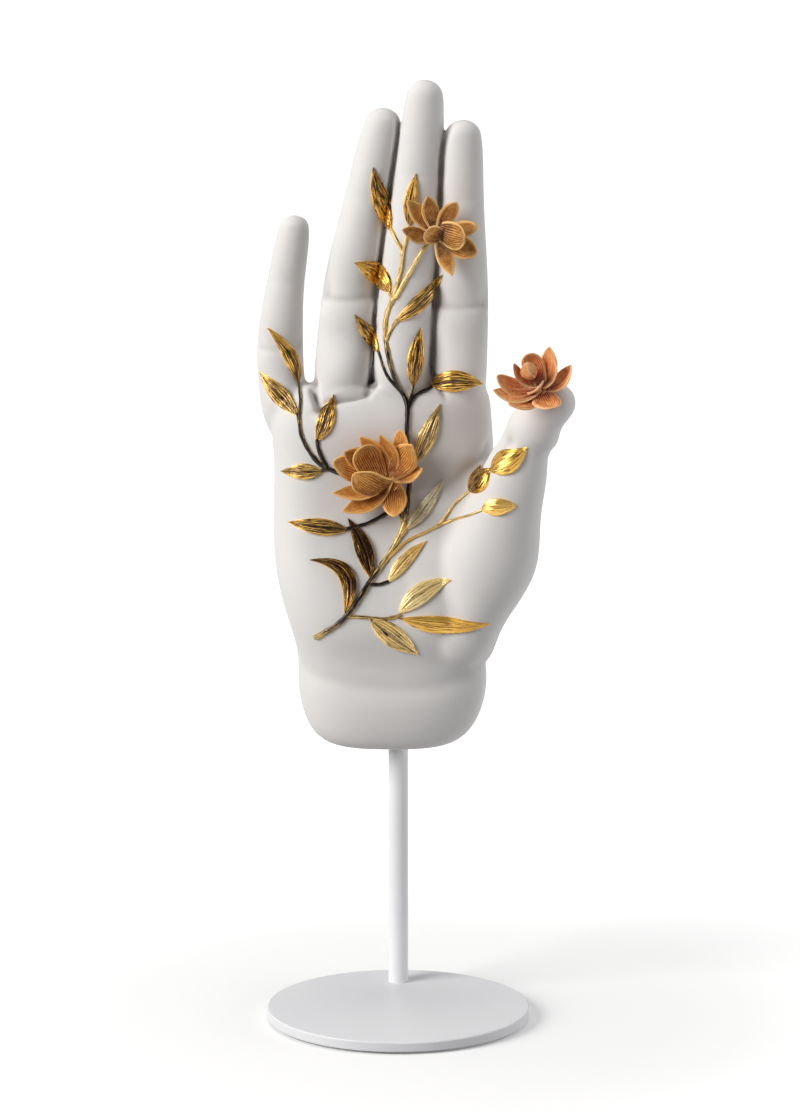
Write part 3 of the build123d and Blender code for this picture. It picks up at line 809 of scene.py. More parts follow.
def shape_hand():
    """The hand's look, and its skin without the grooves as a tree to lay the vine on."""
    mesh = remeshed(outside_alone("hand_shell"), SKIN_VOXEL)
    points, edges = mesh_arrays(mesh)
    normals = vertex_normals(mesh)
    rise = (points[:, 2] - WRIST_Z) / HAND_HEIGHT
    scale = (QUICK_VOXEL / SKIN_VOXEL) ** 2
    everywhere = np.ones(len(points))
    webs = ramp(rise, 0.60, 0.50) * ramp(rise, 0.02, 0.06)
    thumb_side = ramp(points[:, 0] / PALM_WIDTH, 0.15, 0.32)
    thumb_side *= ramp(rise, 0.60, 0.5) * ramp(rise, 0.05, 0.12)
    points = relax(points, edges, everywhere * 0.8, int(2 * scale))
    points = fill_creases(points, edges, normals, webs * 0.9, int(50 * scale))
    points = fill_creases(points, edges, normals, thumb_side, int(110 * scale))
    points = relax(points, edges, thumb_side * 0.5 + 0.15, int(12 * scale))
    put_points(mesh, points)
    normals = vertex_normals(mesh)
    offset = sculpt_hand(points, normals) + sculpt_back(points, normals)
    points = points + normals * offset[:, None]
    put_points(mesh, points)
    tree = mesh_tree(mesh)
    z = points[:, 2]
    facing = np.sign(normals[:, 1])
    low, high = (WRIST_Z + share * HAND_HEIGHT for share in GROOVE_START)
    for one, other in JOINED_FINGERS:
        groove = bump(points[:, 0] - finger_gap(one, other, tree, z), GROOVE_WIDTH)
        groove *= ramp(z, low, high)
        points[:, 1] -= facing * groove_depths(points, facing, groove, tree)
    points = relax(points, edges, everywhere * 0.5, int(2 * scale))
    put_points(mesh, points)
    normals = vertex_normals(mesh)
    # Painted shade: how deep each vertex lies in a hollow, for the material to darken.
    smoothed = relax(points.copy(), edges, everywhere, int(14 * scale))
    hollow = np.clip(np.sum((smoothed - points) * normals, axis=1) / FULL_SHADE_DEPTH, 0, 1)
    hollow = relax(np.repeat(hollow[:, None], 3, axis=1), edges, everywhere, int(4 * scale))
    mesh.name = "hand_skin"
    hand = add_object("hand_skin", mesh)
    paint(hand, hollow=hollow[:, 0])
    open_socket(mesh)
    mesh.polygons.foreach_set("use_smooth", [True] * len(mesh.polygons))
    mesh.materials.clear()
    place_on_hand(hand, bisque_material(), "hand_shell")
    return tree


# Vine

# Leaves: base and tip across and up as shares of the hand's height, breadth and sideways
# bow as shares of the leaf's length, how deeply its veins are engraved, how dark its gold is
# painted at its base and at its tip as painted dark reflection, and how pale its gold is, which
# also paints in bright reflection as base colour.
LEAVES = {
    "leaf_ring_upper": ((-0.011, 0.769), (-0.037, 0.861), 0.28, 0.03, 0.40, 0.12, 0.60, 0.30),
    "leaf_middle_upper": ((0.016, 0.778), (0.026, 0.854), 0.26, 0.02, 1.00, 0.25, 0.20, 0.35),
    "leaf_ring_side": ((-0.013, 0.678), (-0.065, 0.720), 0.50, -0.10, 0.35, 0.20, 0.25, 0.30),
    "leaf_middle_side": ((-0.002, 0.636), (0.066, 0.703), 0.25, -0.04, 0.70, 0.30, 0.45, 0.50),
    "leaf_ring_lower": ((-0.029, 0.588), (-0.065, 0.643), 0.31, -0.01, 0.80, 0.30, 0.40, 0.40),
    "leaf_middle_lower": ((0.022, 0.539), (0.033, 0.625), 0.27, 0.03, 1.00, 0.35, 0.25, 0.35),
    "leaf_index_base": ((0.049, 0.535), (0.124, 0.539), 0.45, 0.12, 1.00, 0.30, 0.20, 0.40),
    "leaf_palm_upper": ((0.026, 0.425), (0.062, 0.511), 0.29, 0.00, 1.00, 0.20, 0.20, 0.80),
    "leaf_little_root": ((-0.120, 0.457), (-0.096, 0.524), 0.36, -0.03, 1.00, 0.40, 0.30, 0.50),
    "leaf_little_outer": ((-0.149, 0.494), (-0.205, 0.554), 0.33, 0.02, 1.00, 0.35, 0.20, 0.60),
    "leaf_little_upper": ((-0.150, 0.538), (-0.194, 0.622), 0.21, -0.09, 0.90, 0.50, 0.10, 0.45),
    "leaf_palm_side": ((-0.113, 0.411), (-0.174, 0.407), 0.41, 0.00, 1.00, 0.30, 0.25, 0.60),
    "leaf_palm_edge": ((-0.077, 0.322), (-0.164, 0.332), 0.30, 0.00, 1.00, 0.45, 0.30, 0.50),
    "leaf_palm_centre": ((-0.041, 0.250), (-0.075, 0.339), 0.29, -0.06, 1.00, 0.60, 0.75, 0.20),
    "leaf_heel_hook": ((-0.079, 0.198), (-0.132, 0.277), 0.27, -0.35, 0.80, 0.45, 0.55, 0.25),
    "leaf_palm_blade": ((-0.015, 0.243), (0.042, 0.305), 0.24, 0.04, 0.50, 0.10, 0.05, 0.75),
    # This leaf's paleness also paints light over the palm flower's shadow.
    "leaf_palm_lance": ((0.013, 0.322), (0.066, 0.397), 0.23, -0.03, 0.70, 0.00, 0.00, 1.25),
    "leaf_thumb_bud": ((0.106, 0.381), (0.136, 0.421), 0.49, 0.00, 0.60, 0.25, 0.30, 0.35),
    "leaf_thumb_side": ((0.124, 0.360), (0.175, 0.368), 0.52, 0.05, 0.30, 0.05, 0.05, 0.60),
    "leaf_thumb_root": ((0.138, 0.417), (0.189, 0.457), 0.51, -0.03, 0.35, 0.10, 0.10, 0.55),
    "leaf_heel_upper": ((0.002, 0.198), (0.079, 0.250), 0.33, 0.07, 0.55, 0.00, 0.00, 0.95),
    "leaf_heel_long": ((0.006, 0.189), (0.135, 0.182), 0.21, -0.05, 0.35, 0.10, 0.10, 0.50),
    "leaf_heel_lower": ((-0.040, 0.186), (0.030, 0.131), 0.39, 0.01, 0.90, 0.10, 0.10, 0.80),
}
TIP_HALF_BREADTH = 0.05 * MM
LEAF_ROWS = 34
LEAF_COLUMNS = 33
LEAF_VEINS = 4
# How far a leaf's edge is tucked into the skin, and the patch its normals are taken over
LEAF_TUCK = 0.5 * MM
LEAF_PATCH = 0.8 * MM
LEAF_RIM = 0.22 * MM
VEIN_DEPTH = 0.30 * MM
MIDRIB_DEPTH = 0.34 * MM

# Stems: runs of points in the leaves' shares, and each run's width at its start and end
# as shares of the main stem's.
STEM_SHARES = {
    "stem_main": [
        ([(-0.123, 0.156), (-0.078, 0.192), (-0.040, 0.247), (-0.009, 0.292), (0.009, 0.332),
          (0.016, 0.383), (0.018, 0.422), (0.013, 0.467), (0.013, 0.510), (0.000, 0.539),
          (-0.010, 0.566), (-0.016, 0.593), (-0.019, 0.621), (-0.015, 0.650), (-0.003, 0.677)],
         1.0, 0.8),
        ([(-0.029, 0.590), (-0.017, 0.556), (0.001, 0.533)], 0.5, 0.6),
        ([(0.022, 0.541), (0.018, 0.518), (0.012, 0.500)], 0.5, 0.6),
        ([(0.051, 0.535), (0.025, 0.523), (0.013, 0.502)], 0.6, 0.7),
        ([(0.026, 0.427), (0.018, 0.411)], 0.6, 0.7),
        ([(0.024, 0.340), (0.010, 0.320), (-0.002, 0.303)], 0.6, 0.7),
        ([(-0.013, 0.245), (-0.028, 0.240), (-0.044, 0.240)], 0.6, 0.7),
        ([(-0.001, 0.638), (-0.011, 0.622), (-0.018, 0.604)], 0.6, 0.7),
        ([(-0.014, 0.679), (-0.010, 0.670), (-0.010, 0.660)], 0.6, 0.7),
        ([(-0.001, 0.352), (0.008, 0.333)], 0.7, 0.8),
    ],
    "stem_top_fork": [
        ([(-0.007, 0.670), (0.003, 0.708), (0.006, 0.737), (-0.002, 0.755), (-0.011, 0.773)],
         0.8, 0.6),
        ([(0.006, 0.733), (0.011, 0.755), (0.016, 0.780)], 0.7, 0.5),
    ],
    "stem_finger_flower": [
        ([(-0.005, 0.668), (0.020, 0.714), (0.036, 0.741), (0.052, 0.757)], 0.8, 0.7),
    ],
    "stem_little_branch": [
        ([(-0.070, 0.402), (-0.109, 0.417), (-0.126, 0.432), (-0.142, 0.460), (-0.146, 0.485),
          (-0.145, 0.518), (-0.150, 0.540)], 1.0, 0.5),
        ([(-0.120, 0.459), (-0.118, 0.443), (-0.106, 0.414)], 0.6, 0.9),
        ([(-0.150, 0.496), (-0.146, 0.480)], 0.5, 0.6),
        ([(-0.115, 0.411), (-0.104, 0.414)], 0.6, 0.8),
    ],
    "stem_palm_edge": [([(-0.079, 0.322), (-0.045, 0.331), (-0.014, 0.347)], 0.7, 0.8)],
    "stem_thumb_branch": [
        ([(-0.018, 0.277), (-0.002, 0.291), (0.014, 0.305), (0.059, 0.329), (0.083, 0.360),
          (0.106, 0.381), (0.118, 0.398), (0.138, 0.418)], 0.6, 0.4),
        ([(0.055, 0.326), (0.084, 0.339), (0.126, 0.361)], 0.6, 0.4),
        ([(0.102, 0.376), (0.110, 0.385), (0.122, 0.388)], 0.5, 0.3),
    ],
    "stem_heel_branch": [
        ([(-0.074, 0.193), (-0.044, 0.191), (-0.019, 0.189), (0.004, 0.195)], 0.7, 0.6),
        ([(-0.044, 0.192), (-0.038, 0.184)], 0.5, 0.5),
        ([(-0.004, 0.192), (0.010, 0.188)], 0.5, 0.4),
    ],
}
# How dark each stem is painted as painted dark reflection: pairs of a height as a share of the
# hand's and a darkness.
STEM_DARK_REFLECTION = {
    "stem_main": [
        (0.155, 0.00), (0.180, 0.30), (0.205, 0.75), (0.260, 0.80), (0.290, 0.25), (0.345, 0.15),
        (0.370, 0.90), (0.540, 0.95), (0.590, 0.60), (0.630, 0.20), (0.680, 0.05),
    ],
    "stem_top_fork": [(0.70, 0.10)],
    "stem_finger_flower": [(0.70, 0.10)],
    "stem_little_branch": [(0.42, 0.95), (0.53, 0.75)],
    "stem_palm_edge": [(0.33, 0.90)],
    "stem_thumb_branch": [(0.32, 0.10)],
    "stem_heel_branch": [(0.19, 0.35)],
}
STEM_SIDES = 14
STEM_RIDGES = 5
STEM_STEP = 0.7 * MM
STEM_PATCH = 1.2 * MM
STEM_STAND = 0.35 * MM
STEM_PALE = 0.75

# The leaves' and stems' places are measured as they look from a little above, lower than
# they are by these shares of the hand's height: everywhere, and more towards the heel.
SEEN_LOW = 0.010
SEEN_LOW_HEEL = 0.022


def seen(across, up):
    """Where a place of the vine that is measured from a little above lies across and up."""
    low = SEEN_LOW + SEEN_LOW_HEEL * (1 - up) ** 4
    return Vector((across * HAND_HEIGHT, WRIST_Z + (up + low) * HAND_HEIGHT))


def on_skin(tree, x, z):
    """Where the front of the hand is at (x, z), or nearest to it, and the way it faces there."""
    place, normal = from_front(tree, x, z)
    if place is None:
        place, normal, _, _ = tree.find_nearest(Vector((x, ROD_Y, z)))
    return place, -normal if normal.y > 0 else normal


def steady_normal(tree, x, z, reach):
    """A normal taken over a patch, so that it doesn't jump in a crease."""
    total = Vector()
    for dx, dz in ((0, 0), (reach, 0), (-reach, 0), (0, reach), (0, -reach)):
        total += on_skin(tree, x + dx, z + dz)[1]
    return total.normalized()


def leaf_half_breadth(along):
    """A leaf's half breadth beside its full breadth: narrow foot, long drawn-out tip."""
    body = 0.5 * math.sin(math.pi * along ** 0.86) ** 0.92 * (1 - 0.10 * along)
    return body + 0.03 * (1 - along) ** 3


def model_leaf(name, tree):
    """A domed leaf that hugs the skin, with a midrib, veins along its edge, and a raised rim."""
    base, tip, breadth, bow, engraved, dark_base, dark_tip, pale = LEAVES[name]
    start, end = seen(*base), seen(*tip)
    length = (end - start).length
    along_way = (end - start) / length
    aside = Vector((-along_way.y, along_way.x))
    verts = []
    looks = {"cut": [], "dark": [], "side": [], "along": []}
    for row in range(LEAF_ROWS + 1):
        along = row / LEAF_ROWS
        half = max(leaf_half_breadth(along) * breadth * length, TIP_HALF_BREADTH)
        bowed = aside * (4 * bow * along * (1 - along) * length)
        centre = start + along_way * (length * along) + bowed
        heading = along_way + aside * (4 * bow * (1 - 2 * along))
        side_way = Vector((-heading.y, heading.x)).normalized()
        lift = RELIEF * (0.55 + 0.75 * math.sin(math.pi * min(along * 1.1, 1)) ** 0.6)
        # Painted dark reflection, from the leaf's base to its tip, kept mostly off its rim.
        dark = dark_base + (dark_tip - dark_base) * along
        for column in range(LEAF_COLUMNS + 1):
            side = 2 * column / LEAF_COLUMNS - 1
            x, z = centre + side_way * (side * half)
            vein = 0.5 - 0.5 * math.cos(2 * math.pi * LEAF_VEINS * abs(side))
            vein *= min(1, half / (1.6 * MM)) * (1 - abs(side) ** 6)
            midrib = math.exp(-(side / 0.10) ** 2)
            edge = abs(side) ** 10
            height = lift * (1 - 0.38 * side * side) + LEAF_RIM * edge
            height -= engraved * (VEIN_DEPTH * vein + MIDRIB_DEPTH * midrib)
            if abs(side) == 1:
                height = -LEAF_TUCK
            verts.append(on_skin(tree, x, z)[0] + steady_normal(tree, x, z, LEAF_PATCH) * height)
            looks["cut"].append(min(1, engraved * (1.05 * vein ** 4 + midrib ** 2)))
            looks["dark"].append(dark * (1 - 0.7 * edge))
            looks["side"].append(side)
            looks["along"].append(along)
    leaf = new_object(name + "_look", verts, sheet_faces(LEAF_ROWS, LEAF_COLUMNS))
    paint(leaf, mark=7.0 * list(LEAVES).index(name), pale=pale, **looks)
    return leaf


def spline_points(points, step):
    """Points along a smooth curve through the given ones."""
    found = []
    padded = [2 * points[0] - points[1]] + points + [2 * points[-1] - points[-2]]
    for index in range(1, len(padded) - 2):
        a, b, c, d = padded[index - 1:index + 3]
        count = max(2, int((c - b).length / step))
        for part in range(count):
            t = part / count
            found.append(
                0.5 * ((2 * b) + (c - a) * t + (2 * a - 5 * b + 4 * c - d) * t * t
                       + (3 * b - 3 * c + d - a) * t ** 3)
            )
    found.append(points[-1])
    return found


def model_stem(name, tree):
    """A stem's runs as ridged twigs laid half sunk on the skin."""
    verts = []
    faces = []
    cuts = []
    runs = []
    sides = []
    for number, (shares, wide_start, wide_end) in enumerate(STEM_SHARES[name]):
        route = spline_points([seen(*place) for place in shares], STEM_STEP)
        faces += tube_faces(len(route) - 1, STEM_SIDES, start=len(verts))
        for index, point in enumerate(route):
            along = index / (len(route) - 1)
            ahead = route[min(index + 1, len(route) - 1)] - route[max(index - 1, 0)]
            heading = Vector((ahead.x, 0, ahead.y)).normalized()
            place, _ = on_skin(tree, point.x, point.y)
            normal = steady_normal(tree, point.x, point.y, STEM_PATCH)
            aside = heading.cross(normal).normalized()
            half = STEM_WIDTH * (wide_start + (wide_end - wide_start) * along) / 2
            swell = 1 + 0.07 * math.sin(index * 0.9 + number)
            swell += 0.05 * math.sin(index * 0.37 + 2 * number)
            for side in range(STEM_SIDES):
                angle = 2 * math.pi * side / STEM_SIDES
                ridge = math.cos(STEM_RIDGES * angle + 0.06 * index)
                stout = swell * (1 + 0.07 * ridge)
                across = math.cos(angle) * half * stout
                up = math.sin(angle) * min(half, RELIEF * 0.62) * stout
                verts.append(place + aside * across + normal * (up + STEM_STAND))
                cuts.append(0.5 - 0.5 * ridge)
                runs.append(index * 0.035 + number)
                sides.append(math.cos(angle) * 0.6)
    stem = new_object(name + "_look", verts, faces)
    heights = np.array([(vert.z - WRIST_Z) / HAND_HEIGHT for vert in verts])
    # Painted dark reflection along the stem's height, kept off one edge as a painted highlight.
    lit_edge = np.clip(np.array(sides) / max(sides), 0, 1) ** 4
    dark = np.interp(heights, *zip(*STEM_DARK_REFLECTION[name])) * (1 - 0.85 * lit_edge)
    paint(stem, cut=0.35 * np.array(cuts) ** 2, along=runs, side=sides, pale=STEM_PALE, dark=dark)
    return stem


def place_on_hand(piece, material, node):
    """Gives a modelled piece its look and puts it in a solid's place on the hand."""
    piece.data.materials.append(material)
    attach(piece, "hand")
    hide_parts(node)


def dress_vine(tree):
    """Puts the gilt leaves and the darker stems in their solids' places."""
    # The second colour is the black of the cuts and of the painted dark reflection.
    gold = gilt_material("gilt", (0.040, 0.016, 0.006), 0.20)
    stem_gold = gilt_material("gilt_stem", (0.012, 0.006, 0.004), 0.24)
    for name in LEAVES:
        place_on_hand(model_leaf(name, tree), gold, name)
    for name in STEM_SHARES:
        place_on_hand(model_stem(name, tree), stem_gold, name)


# Flowers

PETAL_FOOT = 0.30
PETAL_WIDEST = 0.56


def petal(tip, breadth, cup, blunt=0.2, inside=None, foot=(0.0, 0.0, 0.0), base=PETAL_FOOT):
    """One petal: its tip and foot from the flower's root (across, deep, up) as shares of the
    radius, breadth as a share of its length, the cup's ball over its length, how blunt its
    tip is, the way its inside faces, and its foot's breadth beside its greatest."""
    return {
        "tip": Vector(tip), "breadth": breadth, "cup": cup, "blunt": blunt,
        "inside": inside, "foot": Vector(foot), "base": base,
    }


# Each flower: radius, seat across and up as shares of the hand's height, how far its root
# stands off the skin beside the radius, and the way it faces.
FLOWERS = {
    "palm_flower": (20 * MM, (-0.011, 0.415), 0.22, (-0.62, -0.70, 0.30)),
    "finger_flower": (16 * MM, (0.058, 0.776), 0.60, (0.20, -0.97, 0.05)),
    "thumb_flower": (17 * MM, (0.208, 0.545), 0.14, (-0.36, -0.62, 0.70)),
}
# The petals of each row, under the name of the row's node
PETALS = {
    "palm_flower_inner_petals": [
        petal((-0.73, -0.62, 0.22), 0.74, 0.72, 0.55, (0.10, 0.95, 0.45),
              (-0.10, -0.18, -0.15), 0.85),
        petal((-0.55, -0.44, 0.68), 0.68, 0.80, 0.85, (0.35, -0.80, -0.45),
              (-0.25, -0.10, -0.02), 0.65),
    ],
    "palm_flower_middle_petals": [
        petal((-0.23, -0.36, 0.90), 0.46, 0.90),
        petal((0.40, -0.58, 0.74), 0.54, 1.10, 0.0, (-0.35, -0.90, 0.05), (-0.04, -0.04, 0.0)),
        petal((-0.90, -0.42, 0.57), 0.44, 0.90),
        petal((-0.96, -0.36, -0.58), 0.42, 0.80, 0.1, (-0.30, -0.70, 0.70)),
        petal((0.07, -0.44, -0.68), 0.60, 0.90, 0.3, (-0.30, -0.90, 0.40)),
    ],
    "palm_flower_outer_petals": [
        petal((0.18, -0.16, 0.97), 0.44, 1.20, 0.8),
        petal((-0.61, -0.20, 0.84), 0.40, 1.20),
        petal((-1.12, -0.22, 0.36), 0.46, 1.20, 0.5),
        petal((-1.14, -0.30, -0.22), 0.38, 1.00, 0.1, (-0.20, -0.60, 0.80)),
        petal((0.61, -0.34, 0.25), 0.44, 1.20, 0.1, (-0.10, -0.80, 0.60)),
    ],
    "finger_flower_inner_petals": [
        petal((0.68, -0.52, -0.06), 0.95, 0.75, 0.90, (-0.20, 0.90, 0.30),
              (0.08, -0.14, 0.12), 0.55),
        petal((-0.32, -0.46, 0.12), 0.95, 0.75, 0.80, (0.10, 0.90, 0.25),
              (0.10, -0.20, -0.02), 0.60),
        petal((-0.24, -0.40, 0.96), 0.38, 0.90),
    ],
    "finger_flower_middle_petals": [
        petal((0.45, -0.30, 0.80), 0.40, 0.90, 0.5),
        petal((-0.85, -0.36, 0.17), 0.50, 0.75, 0.1, (0.30, -0.70, 0.60)),
        petal((0.36, -0.34, -0.96), 0.35, 1.00, 0.1),
    ],
    "finger_flower_outer_petals": [
        petal((-0.73, -0.18, 0.85), 0.36, 1.20, 0.1),
        petal((0.95, -0.14, 0.20), 0.38, 1.20, 0.9),
        petal((0.93, -0.14, -0.47), 0.50, 1.20, 0.8),
    ],
    "thumb_flower_inner_petals": [
        petal((-0.30, -0.18, 0.98), 0.64, 0.62, 0.95, (-0.10, -0.90, 0.10),
              (0.0, -0.10, 0.30), 0.60),
        petal((-0.60, -0.40, 0.80), 0.40, 0.70, 0.6, (0.80, -0.40, 0.20), (0.0, -0.10, 0.24), 0.50),
        petal((0.05, -0.50, 0.44), 0.36, 0.80, 0.4, (-0.70, 0.30, 0.60), (-0.30, -0.45, 0.12)),
    ],
    "thumb_flower_middle_petals": [
        petal((0.28, -0.30, 0.90), 0.44, 0.80, 0.3, (-0.90, -0.40, 0.10),
              (0.05, -0.10, 0.20), 0.50),
        petal((-0.99, -0.36, 0.50), 0.54, 0.70, 0.9, (0.20, -0.60, 0.75), (0.0, -0.10, 0.22)),
        petal((-0.72, -0.76, -0.08), 0.62, 1.00, 0.2, (0.10, -0.60, 0.80),
              (0.0, -0.10, 0.22), 0.50),
    ],
    "thumb_flower_outer_petals": [
        petal((0.18, -0.06, 1.14), 0.48, 0.90, 0.3, None, (0.0, -0.05, 0.20)),
        petal((0.67, -0.20, 0.76), 0.60, 0.66, 0.3, (-0.60, -0.50, 0.60), (0.0, -0.10, 0.16)),
        petal((0.24, -0.84, -0.14), 0.74, 1.00, 0.6, (0.05, -0.60, 0.80), (0.0, -0.10, 0.22), 0.50),
        petal((-1.08, -0.60, 0.24), 0.46, 0.75, 0.6, (0.15, -0.50, 0.85), (0.0, -0.34, 0.22)),
    ],
}
# Petals' colours: deep in the flower and at the root as painted shade, in the middle, and on the
# rim as a painted highlight
PETAL_COLOURS = {
    "palm_flower": (
        (0.13, 0.025, 0.004), (0.28, 0.070, 0.006), (0.62, 0.235, 0.026), (1.00, 0.60, 0.21),
    ),
    "finger_flower": (
        (0.014, 0.003, 0.002), (0.12, 0.026, 0.003), (0.62, 0.245, 0.030), (1.00, 0.64, 0.25),
    ),
    "thumb_flower": (
        (0.06, 0.005, 0.003), (0.28, 0.032, 0.006), (0.86, 0.31, 0.085), (1.00, 0.66, 0.34),
    ),
}
PETAL_THICKNESS = 0.9 * MM
PETAL_ROWS = 30
PETAL_COLUMNS = 49
PETAL_VEINS = 4
PETAL_VEIN_DEPTH = 0.10 * MM
PETAL_RIM = 0.55 * MM
PETAL_CURL = 0.04
# The bud beside the thumb's flower: its place in the flower's radius, and the way it points
THUMB_BUD = (-0.27, -0.38, 0.62)
BUD_WAY = (-0.15, -0.45, 0.9)
BUD_RADIUS = 3.3 * MM
BUD_ROWS = 30
BUD_COLUMNS = 60
BUD_LEAVES = 3
BUD_TIP = 0.006
BUD_RIM = 0.80
CALYX_RADIUS = 3.0 * MM
CALYX_SUNK = 0.4
STALK_ROWS = 16
STALK_SIDES = 20
SEPALS = 5


def petal_half_breadth(along, blunt, base):
    """Half breadth beside the petal's greatest: from its foot, and to a pointed or blunt tip."""
    if along < PETAL_WIDEST:
        return base + (1 - base) * math.sin(math.pi / 2 * along / PETAL_WIDEST) ** 0.9
    beyond = (along - PETAL_WIDEST) / (1 - PETAL_WIDEST)
    return (1 - beyond ** (1.7 + 0.9 * blunt)) ** (1.0 - 0.45 * blunt)


def model_petal(name, foot, tip, inside, breadth, cup, blunt, base=PETAL_FOOT):
    """A cupped petal with a thin rolled rim and fine veins from its foot to its tip."""
    reach = tip - foot
    length = reach.length
    along_way = reach / length
    inward = (inside - along_way * inside.dot(along_way)).normalized()
    aside = inward.cross(along_way)
    ball = length * cup
    lift = math.sqrt(ball ** 2 - (length / 2) ** 2)
    places = np.zeros((PETAL_ROWS + 1, PETAL_COLUMNS + 1, 3))
    veins, rims, runs, sides = (np.zeros(places.shape[:2]) for _ in range(4))
    for row in range(PETAL_ROWS + 1):
        along = row / PETAL_ROWS
        half = length * breadth / 2 * petal_half_breadth(min(along, 0.995), blunt, base)
        for column in range(PETAL_COLUMNS + 1):
            side = 2 * column / PETAL_COLUMNS - 1
            out = side * half
            hollow = ball ** 2 - (along * length - length / 2) ** 2 - out ** 2
            sag = lift - math.sqrt(max(hollow, 0.05 * ball ** 2))
            sag -= PETAL_CURL * length * max(0, (along - 0.7) / 0.3) ** 2
            sag -= 0.22 * half * abs(side) ** 8
            to_edge = min((1 - abs(side)) * half, (1 - along) * length)
            vein = 0.5 - 0.5 * math.cos(2 * math.pi * PETAL_VEINS * side)
            vein *= min(1, half / (2.0 * MM)) * (1 - abs(side) ** 8)
            places[row, column] = foot + along_way * (along * length) + aside * out + inward * sag
            veins[row, column] = vein
            rims[row, column] = math.exp(-(to_edge / PETAL_RIM) ** 2)
            runs[row, column] = along
            sides[row, column] = side
    normals = np.cross(np.gradient(places, axis=0), np.gradient(places, axis=1))
    normals /= np.maximum(np.linalg.norm(normals, axis=2, keepdims=True), 1e-12)
    if np.sum(normals * np.array(inward)) < 0:
        normals = -normals
    thick = PETAL_THICKNESS * (0.5 - 0.2 * runs ** 3) - PETAL_VEIN_DEPTH * veins
    shift = normals * thick[:, :, None]
    verts = [*(places + shift).reshape(-1, 3), *(places - shift).reshape(-1, 3)]
    wide = PETAL_COLUMNS + 1
    layer = wide * (PETAL_ROWS + 1)
    faces = sheet_faces(PETAL_ROWS, PETAL_COLUMNS)
    faces += [(a + layer, d + layer, c + layer, b + layer) for a, b, c, d in faces]
    border = [row * wide for row in range(PETAL_ROWS + 1)]
    border += [PETAL_ROWS * wide + column for column in range(1, wide)]
    border += [row * wide + PETAL_COLUMNS for row in range(PETAL_ROWS - 1, -1, -1)]
    border += list(range(PETAL_COLUMNS - 1, 0, -1))
    for one, other in zip(border, border[1:] + border[:1]):
        faces.append((one, other, other + layer, one + layer))
    made = new_object(name, verts, faces)
    rim, along, side = (np.tile(values.ravel(), 2) for values in (rims, runs, sides))
    paint(made, rim=rim, along=along, side=side)
    return made


def model_bud(middle, axis):
    """A closed bud: three petals wrapped round each other, drawn to a point."""
    turn = axis.to_track_quat("Z", "Y")
    verts = []
    sides = []
    runs = []
    for row in range(BUD_ROWS + 1):
        rise = row / BUD_ROWS
        belly = max(math.sin(math.pi * rise ** 0.85), BUD_TIP) ** 0.75
        for column in range(BUD_COLUMNS):
            round_share = column / BUD_COLUMNS
            wrap = (round_share * BUD_LEAVES + 0.8 * rise) % 1
            swell = belly * (0.94 + 0.10 * wrap)
            angle = 2 * math.pi * round_share
            local = Vector((math.cos(angle) * swell, math.sin(angle) * swell, 2.5 * rise - 1.15))
            verts.append(middle + turn @ (local * BUD_RADIUS))
            sides.append(2 * wrap - 1)
            runs.append(0.35 + 0.65 * rise)
    bud = new_object("thumb_flower_bud_look", verts, tube_faces(BUD_ROWS, BUD_COLUMNS))
    # The rim tone paints a highlight on one edge of each wrapped petal.
    paint(bud, side=sides, along=runs, rim=np.array(sides) > BUD_RIM)
    return bud


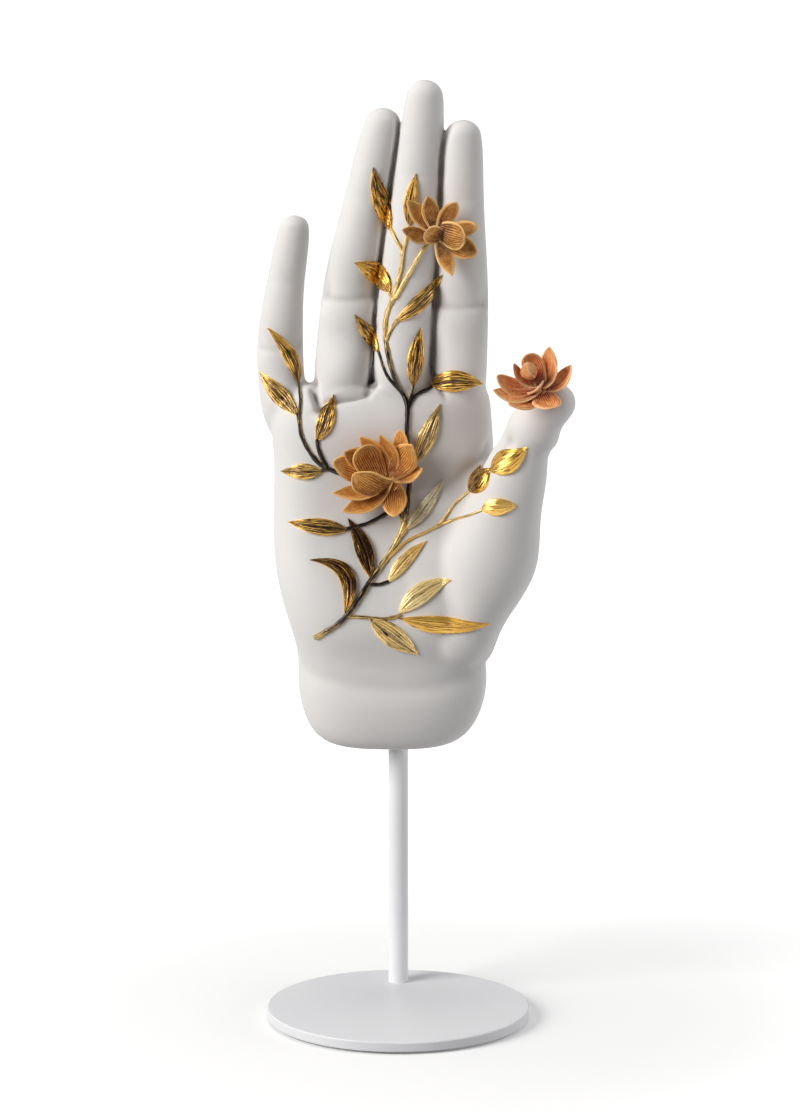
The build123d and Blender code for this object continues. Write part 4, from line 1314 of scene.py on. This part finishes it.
def model_calyx(name, start, root, facing):
    """A flower's short ribbed stalk, flared at both ends, with pointed sepals on top."""
    step = root - start
    turn = step.to_track_quat("Z", "Y")
    verts = []
    for row in range(STALK_ROWS + 1):
        rise = row / STALK_ROWS
        waist = 0.85 - 0.38 * math.sin(math.pi * rise)
        for side in range(STALK_SIDES):
            angle = 2 * math.pi * side / STALK_SIDES
            ribbed = CALYX_RADIUS * waist * (1 + 0.06 * math.cos(SEPALS * angle))
            local = Vector((math.cos(angle) * ribbed, math.sin(angle) * ribbed, 0))
            verts.append(start + step * rise + turn @ local)
    stalk = new_object(name + "_stalk", verts, tube_faces(STALK_ROWS, STALK_SIDES, foot=False))
    # Along at nought gives the stalk the deep tone, the painted shade inside the flower.
    paint(stalk, side=0, along=0, rim=0)
    pieces = [stalk]
    way = facing.normalized()
    across = way.orthogonal().normalized()
    for number in range(SEPALS):
        outward = Matrix.Rotation(2 * math.pi * number / SEPALS, 3, way) @ across
        foot = root - way * 0.8 * CALYX_RADIUS
        tip = root + (outward * 1.6 - way * 0.35) * CALYX_RADIUS
        sepal_name = name + "_sepal_" + str(number + 1)
        pieces.append(model_petal(sepal_name, foot, tip, way, 0.6, 0.9, 0.1))
    return pieces


def dress_flowers(tree):
    """Puts the three flowers' petals, calyxes and the bud in their solids' places."""
    for flower, (radius, seat, stand, facing) in FLOWERS.items():
        look = petal_material("petal_" + flower.split("_")[0], *PETAL_COLOURS[flower])
        place, _ = on_skin(tree, seat[0] * HAND_HEIGHT, WRIST_Z + seat[1] * HAND_HEIGHT)
        root = place - Vector((0, radius * stand, 0))
        for node in [node for node in PETALS if node.startswith(flower)]:
            for number, shares in enumerate(PETALS[node]):
                piece = model_petal(
                    node + "_" + str(number + 1), root + shares["foot"] * radius,
                    root + shares["tip"] * radius, Vector(shares["inside"] or facing),
                    shares["breadth"], shares["cup"], shares["blunt"], shares["base"],
                )
                place_on_hand(piece, look, node)
        sunk = place + Vector((0, CALYX_RADIUS * CALYX_SUNK, 0))
        for piece in model_calyx(flower + "_calyx", sunk, root, Vector(facing)):
            place_on_hand(piece, look, flower + "_calyx")
        if flower == "thumb_flower":
            bud = model_bud(root + Vector(THUMB_BUD) * radius, Vector(BUD_WAY))
            place_on_hand(bud, look, "thumb_flower_bud")


# Stand


def dress_stand():
    """Gives the solids that keep their own shape their materials."""
    paint_coat = painted_steel_material()
    brass = plain_metal_material("brass_look", (0.80, 0.60, 0.28), 0.28, 700)
    looks = {
        "base_plate": paint_coat,
        "stand_rod": paint_coat,
        "base_felt": dull_material("felt_look", (0.62, 0.62, 0.61), 1500, 0.0004),
        "rod_screw": plain_metal_material("zinc_look", (0.66, 0.67, 0.68), 0.34, 900),
        "pivot_cap": dull_material("nylon_look", (0.86, 0.85, 0.80), 400, 0.00004),
        "socket_tube": brass,
        "socket_stop": brass,
        "socket_plaster": dull_material("plaster_look", (0.84, 0.82, 0.78), 600, 0.0001),
    }
    for name, material in looks.items():
        mesh = nodes[name].data
        mesh.materials.clear()
        mesh.materials.append(material)


add_camera()
add_lights()
add_floor()
tree = shape_hand()
dress_vine(tree)
dress_flowers(tree)
dress_stand()
